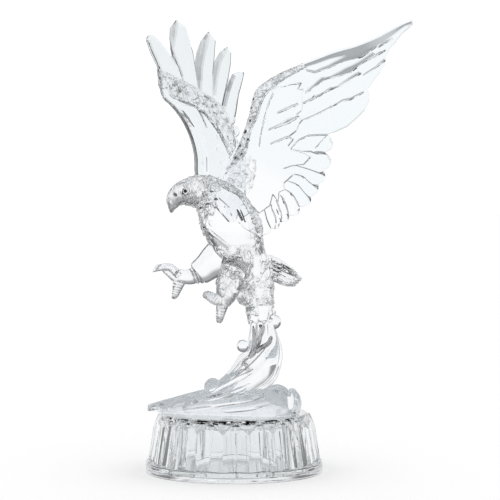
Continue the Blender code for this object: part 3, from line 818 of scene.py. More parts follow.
@dataclass(frozen=True)
class WingSheet:
    """A leaning sheet that a wing lies in: u is along the chord, v is up and w is out of it."""

    origin: tuple[float, float, float]
    yaw_deg: float
    outward: float
    lean: float
    span: float

    def place(self, u: np.ndarray, v: np.ndarray, w: np.ndarray) -> np.ndarray:
        """Take points from the sheet to the figure.

        Args:
            u: Places along the chord, in parts.
            v: Heights.
            w: Distances out of the sheet.

        Returns:
            The points, in metres.
        """
        yaw = math.radians(self.yaw_deg)
        chord = np.array([math.cos(yaw), math.sin(yaw), 0.0])
        normal = np.array([math.sin(yaw), -math.cos(yaw), 0.0]) * self.outward
        bow = self.lean * (np.maximum(v, 0.0) / self.span) ** 1.5
        up = np.array([0.0, 0.0, 1.0])
        return to_metres(np.array(self.origin) + u[..., None] * chord + v[..., None] * up
                         + (w + bow)[..., None] * normal)

    def bend(self, blank: Solid, strip: float = 7.0) -> None:
        """Bend a flat blank onto the sheet, strip by strip.

        Args:
            blank: The blank, whose points are (u, v, w) in parts.
            strip: Height of a strip, in parts.
        """
        shape = bmesh.new()
        shape.from_mesh(blank.data)
        heights = [vertex.co.y for vertex in shape.verts]
        for level in np.arange(min(heights) + strip, max(heights), strip):
            bmesh.ops.bisect_plane(shape, geom=shape.verts[:] + shape.edges[:] + shape.faces[:], dist=1e-4,
                                   plane_co=(0.0, level, 0.0), plane_no=(0.0, 1.0, 0.0))
        bmesh.ops.triangulate(shape, faces=shape.faces)
        flat = np.array([vertex.co for vertex in shape.verts])
        for vertex, point in zip(shape.verts, self.place(flat[:, 0], flat[:, 1], flat[:, 2])):
            vertex.co = point
        if self.outward < 0.0:
            bmesh.ops.reverse_faces(shape, faces=shape.faces)
        shape.to_mesh(blank.data)
        shape.free()


@dataclass(frozen=True)
class Feather:
    """One short feather of a wing, from its root to its tip in (u, v), in parts.

    Each row of its outline is (share of the length, width, fullness).
    """

    root: tuple[float, float]
    tip: tuple[float, float]
    half_width: float = 4.8
    thickness: float = 3.2
    pitch: float = -0.1
    lift: float = -0.5
    ridge: float = 0.3
    lead: float = 0.3
    trail: float = 0.6
    outline: Keys = ((0.0, 0.75, 1.0), (0.55, 1.0, 1.0), (0.85, 0.84, 0.85), (0.96, 0.6, 0.65),
                     (1.0, 0.3, 0.5))

    def solid(self) -> Solid:
        """Loft the feather as a flat blank.

        The section is a flat double wedge: its quill stands at the ridge, from -1 to 1, and the lead and
        the trail are the heights left at the bevels of its two edges.

        Returns:
            The feather's object.
        """
        rows = smooth_rows(self.outline, 3)[1]
        share, width, fullness = rows[:, :1], np.maximum(rows[:, 1:2], 0.1), rows[:, 2:3]
        start, end = np.array(self.root), np.array(self.tip)
        along = (end - start) / np.linalg.norm(end - start)
        side = np.array([-along[1], along[0]])
        half = np.array([(-1.0, 0.28), (-0.88, self.trail), (self.ridge, 1.0), (0.88, self.lead),
                         (1.0, 0.28)])
        section = np.vstack([half, half[::-1] * np.array([1.0, -1.0])])
        across = section[None, :, 0] * width * self.half_width
        u = start[0] + (end - start)[0] * share + side[0] * across
        v = start[1] + (end - start)[1] * share + side[1] * across
        w = self.lift + section[None, :, 1] * fullness * self.thickness / 2 + across * self.pitch
        return skin("feather", np.stack([u, v, w], -1))


def plate(outline: Keys, thickness: float, slope: float, lift: float = 0.0) -> Solid:
    """Make a flat blank from its outline, with a bevelled edge on both faces.

    Args:
        outline: Rows of (u, v, width of the bevel, share by which it is carved, below zero for painted
        shade), in parts. The last two may be left out.
        thickness: Thickness inside the bevels.
        slope: Slope of the bevels, as a tangent.
        lift: Distance of its middle from the sheet.

    Returns:
        The blank's object.
    """
    rows = np.array([tuple(row) + PLAIN_CORNER[len(row) - 2:] for row in outline])
    ahead = np.roll(rows[:, :2], -1, 0)
    if (rows[:, 0] * ahead[:, 1] - ahead[:, 0] * rows[:, 1]).sum() < 0.0:
        rows = rows[::-1]
    spots = rows[:, :2]
    side = np.roll(spots, -1, 0) - spots
    side = np.stack([-side[:, 1], side[:, 0]], -1) / np.linalg.norm(side, axis=1)[:, None]
    before = np.roll(side, 1, 0)
    inward = (side + before) / np.maximum(1.0 + (side * before).sum(1), 0.6)[:, None]
    inner = spots + inward * rows[:, 2:3]
    count = len(rows)
    face = np.full(count, thickness / 2)
    edge = np.maximum(face - slope * rows[:, 2], 0.12)
    levels = [(inner, -face), (spots, -edge), (spots, edge), (inner, face)]
    points = np.vstack([np.column_stack([spot, lift + height]) for spot, height in levels])
    faces = [list(range(count))[::-1], list(range(3 * count, 4 * count))]
    carved = [0.0, 0.0]
    for level in range(3):
        for n in range(count):
            m = (n + 1) % count
            here, above = level * count, (level + 1) * count
            faces.append([here + n, here + m, above + m, above + n])
            carved.append(min(rows[n, 3], rows[m, 3], key=abs))
    blank = mesh_object("plate", points, faces, carved)
    shape = bmesh.new()
    shape.from_mesh(blank.data)
    bmesh.ops.triangulate(shape, faces=shape.faces, ngon_method="EAR_CLIP")
    shape.to_mesh(blank.data)
    shape.free()
    return blank


def band(rows: Keys, profile: Keys, carved: float = 0.0, rough: float = 0.0, seed: float = 0.0,
         steps: int = 5) -> Solid:
    """Make a flat blank between two lines, with the same section on both faces.

    Args:
        rows: Rows of (u, v) on the outer line, (u, v) on the inner line and the thickness.
        profile: Rows of the share of the way from the outer line to the inner and the share of the height.
        carved: Share by which the faces are carved.
        rough: Height of the uneven facets, in parts.
        seed: Picks another set of facets.
        steps: Rows made for each given row.

    Returns:
        The blank's object.
    """
    fine = smooth_rows(rows, steps)[1]
    share, height = np.array(profile, float).T
    spots = fine[:, None, 0:2] + (fine[:, None, 2:4] - fine[:, None, 0:2]) * share[None, :, None]
    w = fine[:, 4:5] / 2 * height[None, :]
    row, column = np.arange(len(fine))[:, None], np.arange(len(share))[None, :]
    inside = np.where((share > 0.0) & (share < 1.0), 1.0, 0.0)[None, :]
    rings = []
    for turn in (1.0, -1.0):
        uneven = rough * (chance(row, column, seed + turn) - 0.6) * inside
        drift = rough * np.stack([chance(row, column, seed + turn + n) - 0.5 for n in (3.0, 5.0)], -1)
        face = np.concatenate([spots + drift * inside[..., None], (turn * (w + uneven))[..., None]], -1)
        rings.append(face if turn > 0.0 else face[:, ::-1])
    return skin("band", np.concatenate(rings, 1), carved)


def groove(rows: Keys, surface: float, least: float = 0.25, painted_shade: float = 0.0) -> list[Solid]:
    """Make the V tools that cut a line into both faces of a blank.

    Args:
        rows: Rows of (u, v, width of the upper wall, width of the lower wall), in parts.
        surface: Distance of the faces from the sheet.
        least: Depth of the finest line. A wide wall goes deeper.
        painted_shade: Share of painted shade that darkens the line's walls.

    Returns:
        The two tools.
    """
    table = np.array(rows, float)
    spots = table[:, :2]
    along = np.gradient(spots, axis=0)
    along /= np.linalg.norm(along, axis=1)[:, None]
    up = np.stack([-along[:, 1], along[:, 0]], -1)
    depth = least + 0.28 * table[:, 2:4].max(1)
    grow = (1.0 + 0.6 / depth)[:, None]
    tools = []
    for turn in (1.0, -1.0):
        levels = ((spots, surface - depth), (spots + up * table[:, 2:3] * grow, surface + 0.6 + 0.0 * depth),
                  (spots - up * table[:, 3:4] * grow, surface + 0.6 + 0.0 * depth))
        rings = np.stack([np.column_stack([spot, turn * w]) for spot, w in levels], 1)
        # The walls that the tool cuts take its painted shade, as a negative carved share
        tools.append(skin("groove", rings, -painted_shade))
    return tools


def arm_panel(rows: Keys, carved: float, rough: float, seed: float) -> Solid:
    """Loft a wing's arm and its smooth web as a flat blank.

    The front edge is rounded, behind it lies a bevel, and past the knee the web is level.

    Args:
        rows: (v, u at the front edge, u at the back edge, thickness of the arm, of the web).
        carved: Share by which the front lip is carved, below zero for painted shade on the edge. It fades up
            the arm.
        rough: Height of the uneven facets on the front edge.
        seed: Picks the set of facets.

    Returns:
        The blank's object.
    """
    fine = smooth_rows(rows, 8)[1]
    v, front, back = fine[:, 0:1], fine[:, 1:2], fine[:, 2:3]
    arm, web = fine[:, 3:4] / 2, fine[:, 4:5] / 2
    knee = np.minimum(7.0, (back - front) * 0.4)
    shares = ((0, 0), (0.04, 0.42), (0.12, 0.74), (0.22, 0.92), (0.34, 1), (0.46, 1), (0.58, 0.98),
              (0.64, 0.9), (0.8, 0.84), (1, 0.82))
    width = back - front
    depths = [share * knee for share, _ in shares] + [knee + 1.8, knee + 3.2, width - 1.0, width]
    heights = [height * arm for _, height in shares] + [web * 1.2, web, web * 0.8, web * 0.35]
    loop = list(range(len(depths))) + list(range(len(depths) - 1, 0, -1))
    turn = np.array([1.0] * len(depths) + [-1.0] * (len(depths) - 1))
    depth = np.hstack([depths[n] for n in loop])
    height = np.hstack([heights[n] for n in loop])
    edge = np.array([1.0 if n < 7 else 0.0 for n in loop])[None, :]
    row, column = np.arange(len(fine))[:, None], np.arange(len(loop))[None, :]
    bump = rough * edge * (chance(row, column, seed) - 0.6)
    rings = np.stack([front + depth, v + 0.0 * depth, turn * (height + bump)], -1)
    lip = np.array([1.0 if n < 3 else 0.0 for n in loop])[None, :]
    lip_end, lip_fade = 52.0, 14.0
    return skin("panel", rings, carved * lip * np.clip((lip_end - v[:-1]) / lip_fade, 0.0, 1.0))


def copies_on_a_ring(name: str) -> bpy.types.GeometryNodeTree:
    """Build the node tree that sets copies of an object round a ring.

    Its inputs are the object, the number of copies, the ring's radius and height, the least and the
    greatest scale of a copy and the finish.

    Args:
        name: Name of the tree.

    Returns:
        The node tree.
    """
    tree = bpy.data.node_groups.new(name, "GeometryNodeTree")
    kinds = {"Copy": "Object", "Count": "Int", "Radius": "Float", "Height": "Float", "Least Scale": "Float",
             "Greatest Scale": "Float", "Finish": "Material"}
    for label, kind in kinds.items():
        tree.interface.new_socket(label, in_out="INPUT", socket_type=f"NodeSocket{kind}")
    tree.interface.new_socket("Geometry", in_out="OUTPUT", socket_type="NodeSocketGeometry")
    given = add_node(tree, "NodeGroupInput").outputs
    copy = add_node(tree, "GeometryNodeObjectInfo", values={"Object": given["Copy"], "As Instance": True})
    ring = add_node(tree, "GeometryNodeMeshCircle", values={
        "Vertices": given["Count"], "Radius": given["Radius"]})
    rise = add_node(tree, "ShaderNodeCombineXYZ", values={"Z": given["Height"]})
    raised = add_node(tree, "GeometryNodeSetPosition", values={
        "Geometry": ring.outputs["Mesh"], "Offset": rise.outputs[0]})
    index = add_node(tree, "GeometryNodeInputIndex").outputs[0]
    share = add_node(tree, "ShaderNodeMath", {"operation": "DIVIDE"}, {0: index, 1: given["Count"]})
    turn = add_node(tree, "ShaderNodeMath", {"operation": "MULTIPLY"}, {0: share.outputs[0], 1: math.tau})
    heading = add_node(tree, "ShaderNodeCombineXYZ", values={"Z": turn.outputs[0]})
    size = add_node(tree, "FunctionNodeRandomValue", {"data_type": "FLOAT"}, {
        2: given["Least Scale"], 3: given["Greatest Scale"], "ID": index, "Seed": 7})
    placed = add_node(tree, "GeometryNodeInstanceOnPoints", values={
        "Points": raised.outputs[0], "Instance": copy.outputs["Geometry"], "Rotation": heading.outputs[0],
        "Scale": size.outputs[1]})
    real = add_node(tree, "GeometryNodeRealizeInstances", values={0: placed.outputs[0]})
    dressed = add_node(tree, "GeometryNodeSetMaterial", values={
        "Geometry": real.outputs[0], "Material": given["Finish"]})
    add_node(tree, "NodeGroupOutput", values={0: dressed.outputs[0]})
    return tree


def ring_of(tree: bpy.types.GeometryNodeTree, inputs: dict[str, Any]) -> Solid:
    """Set copies round a ring and turn the result into a plain mesh.

    Args:
        tree: The tree from copies_on_a_ring.
        inputs: Values for the tree's inputs, by name.

    Returns:
        An object with the copies as one mesh.
    """
    holder = bpy.data.objects.new("ring", bpy.data.meshes.new("ring"))
    bpy.context.scene.collection.objects.link(holder)
    bpy.context.scene.collection.objects.link(inputs["Copy"])
    step = holder.modifiers.new("ring", "NODES")
    step.node_group = tree
    for item in tree.interface.items_tree:
        if item.in_out == "INPUT":
            step[item.identifier] = inputs[item.name]
    graph = bpy.context.evaluated_depsgraph_get()
    mesh = bpy.data.meshes.new_from_object(holder.evaluated_get(graph))
    bpy.data.objects.remove(holder)
    bpy.data.objects.remove(inputs["Copy"])
    return bpy.data.objects.new("ring", mesh)


def prism_ring(count: int, turn: float, radius: float, sunk: float, level: float, lift: float = 0.0,
               blunt: float = 0.0) -> np.ndarray:
    """Make one ring of a band of prisms: a blunt ridge and a groove beside it, four points a prism.

    Args:
        count: Number of prisms.
        turn: Angle of the first ridge, in radians.
        radius: Radius of the ridges.
        sunk: Depth of the grooves.
        level: Height of the ridges.
        lift: Height of the grooves over the ridges.
        blunt: Width of a ridge and of a groove, as a share of the step between them.

    Returns:
        The ring's points.
    """
    index = np.arange(4 * count)
    low = ((index % 4) >= 2).astype(float)
    step = math.tau / (2 * count)
    angle = turn + step * (index // 2) + step * blunt * ((index % 2) - 0.5)
    reach = radius - sunk * low
    return np.stack([reach * np.cos(angle), reach * np.sin(angle), level + lift * low], -1)


@dataclass(frozen=True)
class PrismBase:
    """The hollow base: a round flange, a ring of notched prisms, a bevelled deck and a plate below.

    Ribs stand on the hollow's wall, and one upright scratch is cut into the prisms in front. Painted
    shade makes the scratch dark and the ribs a little darker.
    """

    height: float = 0.0395
    rim_radius: float = 0.0592
    deck_radius: float = 0.0490
    plate_thickness: float = 0.0032
    plate_chamfer: float = 0.0004
    flange_thickness: float = 0.0034
    flange_round: float = 0.0003
    prism_foot_step: float = 0.0002
    prism_count: int = 20
    prism_turn_deg: float = 10.5
    foot_radius: float = 0.0582
    head_radius: float = 0.0544
    groove_depth: float = 0.0036
    crown_depth: float = 0.0036
    notch_depth: float = 0.0086
    deck_bevel: float = 0.0012
    cavity_round: float = 0.0034
    wall: float = 0.0035
    rib_count: int = 41
    rib_height: float = 0.0014
    rib_sunk: float = 0.0012
    rib_half_widths: tuple[float, float] = (0.0019, 0.0016)
    rib_head_drop: float = 0.0045
    rib_scales: tuple[float, float] = (0.985, 1.012)
    scratch_levels: tuple[float, float] = (0.0075, 0.022)
    scratch_half_widths: tuple[float, float] = (0.0006, 0.0005)
    scratch_turn_deg: float = -56.5

    def ring(self, radius: float, sunk: float, level: float, lift: float = 0.0,
             blunt: float = 0.1) -> np.ndarray:
        """Ring of the prism band at one level, in metres."""
        turn = math.radians(self.prism_turn_deg)
        return prism_ring(self.prism_count, turn, radius, sunk, level, lift, blunt)

    def round_ring(self, radius: float, level: float) -> np.ndarray:
        """Ring with as many points as the prism band and no grooves."""
        return self.ring(radius, 0.0, level, 0.0, 0.5)

    def wedge(self, tip: float, back: float, half_width: float,
              level: float) -> list[tuple[float, float, float]]:
        """Section of a wedge on the X axis, with its edge at one radius and its back at another."""
        return [(tip, 0.0, level), (back, half_width, level), (back, -half_width, level)]

    def build_shell(self, tree: bpy.types.GeometryNodeTree, finish: bpy.types.Material) -> Solid:
        """Build the hollow shell with ribs on its inner wall.

        Args:
            tree: The tree that sets copies round a ring.
            finish: Material of the ribs.

        Returns:
            The shell's object.
        """
        floor = self.plate_thickness + GLUE_GAP
        flange_top = floor + self.flange_thickness
        notch = self.height - self.notch_depth
        ceiling = self.height - self.wall
        edge = self.flange_round
        shell = skin("base_shell_cast", np.array([
            self.round_ring(self.rim_radius - edge, floor),
            self.round_ring(self.rim_radius, floor + edge),
            self.round_ring(self.rim_radius, flange_top - edge),
            self.round_ring(self.rim_radius - edge, flange_top),
            self.ring(self.foot_radius, self.groove_depth, flange_top + self.prism_foot_step),
            self.ring(self.head_radius, self.crown_depth, notch, self.notch_depth - self.deck_bevel),
            self.round_ring(self.deck_radius, self.height - self.deck_bevel / 4),
            self.round_ring(self.deck_radius - self.deck_bevel, self.height),
        ]))
        foot = self.foot_radius - self.groove_depth - self.wall
        head = self.deck_radius - self.wall
        hollow = np.array([
            self.round_ring(foot, floor - 0.001),
            self.round_ring(head, ceiling - self.cavity_round),
            self.round_ring(head - self.cavity_round * 0.3, ceiling - self.cavity_round * 0.3),
            self.round_ring(head - self.cavity_round, ceiling),
        ])
        cavity = skin("cavity", hollow, np.outer((0.0, 0.9, 1.0), np.ones(hollow.shape[1])))
        # The scratch is painted dark: painted shade, share -0.8
        wide, narrow = self.scratch_half_widths
        scratch = skin("scratch", np.array([
            self.wedge(self.foot_radius - 0.0034, self.foot_radius + 0.002, wide, self.scratch_levels[0]),
            self.wedge(self.head_radius - 0.0012, self.head_radius + 0.003, narrow, self.scratch_levels[1]),
        ]), -0.8)
        scratch.data.transform(Matrix.Rotation(math.radians(self.scratch_turn_deg), 4, "Z"))
        combine(shell, [cavity, scratch], Cut.TAKE)
        # The ribs get a little painted shade, share -0.14
        rib = skin("rib", np.array([
            self.wedge(radius + self.rib_sunk - self.rib_height, radius + self.rib_sunk, half_width, level)
            for radius, half_width, level in zip(
                (foot, head), self.rib_half_widths, (floor, ceiling - self.rib_head_drop))
        ]), -0.14)
        ribs = ring_of(tree, {
            "Copy": rib, "Count": self.rib_count, "Radius": 0.0, "Height": 0.0, "Finish": finish,
            "Least Scale": self.rib_scales[0], "Greatest Scale": self.rib_scales[1]})
        combine(shell, [ribs], Cut.JOIN)
        settle(shell, 8.0)
        bond(shell, 2, (floor,))
        return shell

    def build_plate(self) -> Solid:
        """Build the plate that closes the underside.

        Returns:
            The plate's object.
        """
        inside = self.foot_radius - self.groove_depth - self.wall
        disc = skin("base_plate_cast", np.array([
            self.round_ring(inside, 0.0),
            self.round_ring(self.rim_radius - self.plate_chamfer, 0.0),
            self.round_ring(self.rim_radius, self.plate_chamfer),
            self.round_ring(self.rim_radius, self.plate_thickness - self.plate_chamfer / 2),
            self.round_ring(self.rim_radius - self.plate_chamfer / 2, self.plate_thickness),
            self.round_ring(inside, self.plate_thickness),
        ]))
        settle(disc, 20.0)
        bond(disc, 2, (0.0, self.plate_thickness), inside * 0.98)
        return disc


@dataclass(frozen=True)
class CurlingWave:
    """The wave: a ridged tongue, a twisted column of strands, a crest dome, a rock, foam and drops."""

    strands: int = 7
    strand_depth: float = 0.17
    strand_twist: float = 0.03
    foam_count: int = 10
    foam_radius: float = 2.0

    def swell(self) -> Solid:
        """Loft the tongue and the swell behind it, with strands that run along it.

        Returns:
            The swell's object.
        """
        rows = smooth_rows((
            (-57.8, 0.6, 4.4, 1.8), (-50, 1.2, 6.8, 6), (-41, 1.6, 9.2, 10), (-29, 2.2, 12.6, 14.5),
            (-14, 2.4, 16.4, 19), (2, 2, 18, 22), (18, 1, 18, 23), (30, 0, 13, 20), (38, -2, 8, 13)), 10)[1]
        profile = smooth_rows((
            (-1, 0), (-0.9, 0.4), (-0.62, 0.56), (-0.4, 0.9), (-0.06, 0.84), (0.16, 1), (0.42, 0.72),
            (0.68, 0.66), (0.88, 0.36), (1, 0)), 6)[1]
        across, rise = profile[None, :, 0], np.maximum(profile[None, :, 1], 0.0)
        x, drift, height, half_width = (rows[:, n:n + 1] for n in range(4))
        sweep = across * 3.2 + (x + 57.8) * 0.012
        valley = 1.0 - np.sqrt(np.abs(np.sin(math.pi * sweep)))
        grown = np.clip((x + 54.0) / 25.0, 0.0, 1.0) * np.clip(rise * 3.0 - 0.9, 0.0, 1.0)
        z = rise * height - 1.5 * valley * grown
        rings = np.stack([x + 0.0 * across, drift + across * half_width, np.maximum(z, 0.0)], -1)
        share = 0.2 * np.clip(rise * 2.0 - 1.0, 0.0, 1.0) * np.clip((x + 50.0) / 10.0, 0.0, 1.0)
        return skin("wave_cast", to_metres(rings), share[:-1])

    def flute(self, station: np.ndarray, angle: np.ndarray) -> np.ndarray:
        """Give the reach of the column: round strands with sharp valleys, smooth on its belly.

        Args:
            station: Places along the column.
            angle: Angles around it.

        Returns:
            Scales of the radius.
        """
        spot = (angle / math.tau - self.strand_twist * station) * self.strands
        valley = 1.0 - 2.0 * np.abs(spot % 1.0 - 0.5)
        front = ((angle + math.pi) % math.tau) - math.pi
        belly = np.exp(-(front / 0.8) ** 2) * np.exp(-((station - 4.0) / 2.2) ** 2)
        depth = self.strand_depth * (1.0 - 0.8 * belly)
        return 1.0 - depth * (1.0 - np.sqrt(np.clip(1.0 - valley ** 2, 0.0, 1.0)))

    def collar(self, station: np.ndarray, angle: np.ndarray) -> np.ndarray:
        """Return the relief of the foam collar with its zigzag lip."""
        lip = 6.35 + 0.35 * np.abs(((angle / math.tau * 11.0) % 1.0) * 2.0 - 1.0)
        return np.where(station > lip, 0.9, 0.0)

    def build(self, tree: bpy.types.GeometryNodeTree, finish: bpy.types.Material) -> Solid:
        """Build the whole wave.

        Args:
            tree: The tree that sets copies round a ring.
            finish: Material of the foam's beads.

        Returns:
            The wave's object.
        """
        wave = self.swell()
        stem = Limb((
            (-22.0, -1.0, 7.0, 6.0, 9.0), (-8.0, 0.0, 12.0, 9.0, 12.0), (4.5, 0.5, 18.5, 12.5, 13.5),
            (14.6, 0.5, 28.0, 15.0, 13.5), (19.6, 0.0, 38.0, 13.0, 12.5), (19.6, 0.0, 48.0, 10.8, 10.5),
            (18.8, 0.0, SEAM_LEVEL - 14.0, 8.5, 9.0), (18.0, 0.0, SEAM_LEVEL - 7.0, 8.6, 8.8),
            (17.0, 0.0, SEAM_LEVEL + 3.0, 9.4, 9.2)), 14)
        column = stem.solid(112, self.collar, self.flute, twist=self.strand_twist)
        # The streaks are grooves darkened by painted shade, by their last value
        streaks = [stem.groove(spots, radius, painted_shade) for spots, radius, painted_shade in (
            (((6.2, -140, -0.8), (5, -130, -1.2), (4.6, -134, -1.6), (3.6, -136, -1.6), (2.7, -134, 0.3)),
             1.3, 0.8),
            (((6.3, -118, -0.6), (5.3, -120, -1.2), (4.7, -124, -1.8), (4, -132, -1.2), (3.3, -130, 0.3)),
             1.1, 0.7),
            (((6.1, -80, 0.2), (5.3, -102, -0.9), (4.8, -110, -1.6), (4.2, -122, -1.6), (3.6, -126, 0.2)),
             1.5, 0.8),
            (((5.3, -56, 0.4), (4.8, -74, -0.9), (4.6, -96, -1.6), (4.2, -114, -0.2)), 1.6, 0.9),
            (((4.9, -66, 0.3), (4.6, -82, -0.3), (4, -104, -0.5), (3.1, -114, -0.5), (2.5, -120, -0.5),
              (1.6, -124, 0.3)), 0.5, 0.8),
            (((6.3, -97, -0.2), (6, -100, -0.2)), 1.2, 1),
        )]
        # The nicks are darkened by painted shade, by their negative carved shares
        nicks = [
            tube(((-30.0, -12.6, 7.2), (-24.0, -13.4, 8.6), (-19.5, -14.0, 9.4)), 0.6, carved=-0.5),
            bead((-19.6, -15.4, 8.8), 1.2, (1.6, 1.0, 0.8), 2, carved=-1.0),
            tube(((-12.0, -15.0, 12.0), (-6.0, -16.0, 13.4), (-2.0, -16.0, 14.4)), 0.7, carved=-0.5),
            tube(((2.0, -20.6, 8.6), (9.0, -21.8, 9.6), (16.0, -21.0, 11.0)), 0.6, carved=-0.4),
        ]
        crests = [tube(keys, radius, 6, 10) for keys, radius in (
            (((-34, -12, 3), (-14, -15.5, 6.5), (6, -16.5, 9.5), (20, -13, 13)), 2.4),
            (((-20, -9, 9), (-4, -11.5, 13), (8, -11.5, 18), (17, -9, 24)), 2.2),
            (((-8, -18.5, 3), (10, -20.5, 5), (24, -18, 8)), 2.2),
            (((-28, 13, 4), (-10, 17, 7), (8, 18, 10), (20, 13, 14)), 2.4))]
        beads = [
            bead((28.5, -8.0, 5.2), 11.0, (1.0, 0.7, 1.27), carved=0.2), bead((26.6, 0.5, 60.0), 4.9),
            bead((5.8, -2.5, 44.2), 4.2), bead((-14.2, -3.0, 17.0), 5.8), bead((2.0, -14.5, 11.5), 2.7),
            bead((8.5, -13.5, 13.5), 2.1), bead((-26.0, -10.5, 9.0), 2.4),
        ]
        rock = bead((39.4, -9.0, 7.0), 5.4, (1.0, 1.5, 1.85), 2, 0.22)
        foam = ring_of(tree, {"Copy": self.foam_bead(), "Count": self.foam_count, "Radius": 8.3 * PART,
                              "Height": 0.0, "Least Scale": 0.8, "Greatest Scale": 1.25, "Finish": finish})
        shift = to_metres(np.array([17.4, 0.0, SEAM_LEVEL - 4.6]))
        foam.data.transform(Matrix.Translation(Vector(shift)))
        combine(wave, [column, rock, foam] + crests + beads, Cut.JOIN)
        combine(wave, [block((-90.0, -70.0, SEAM_LEVEL), (90.0, 70.0, SEAM_LEVEL + 20.0)),
                       block((-90.0, -70.0, -20.0), (90.0, 70.0, 0.0))] + streaks + nicks, Cut.TAKE)
        settle(wave, 24.0)
        bond(wave, 2, (level_in_metres(0.0), level_in_metres(SEAM_LEVEL)))
        return wave

    def foam_bead(self) -> Solid:
        """Make one foam bead at the origin, in metres.

        Returns:
            The bead's object.
        """
        foam = bead((0.0, 0.0, 0.0), self.foam_radius, fineness=2, carved=0.6)
        foam.data.transform(Matrix.Translation(-Vector(to_metres(np.zeros(3)))))
        return foam


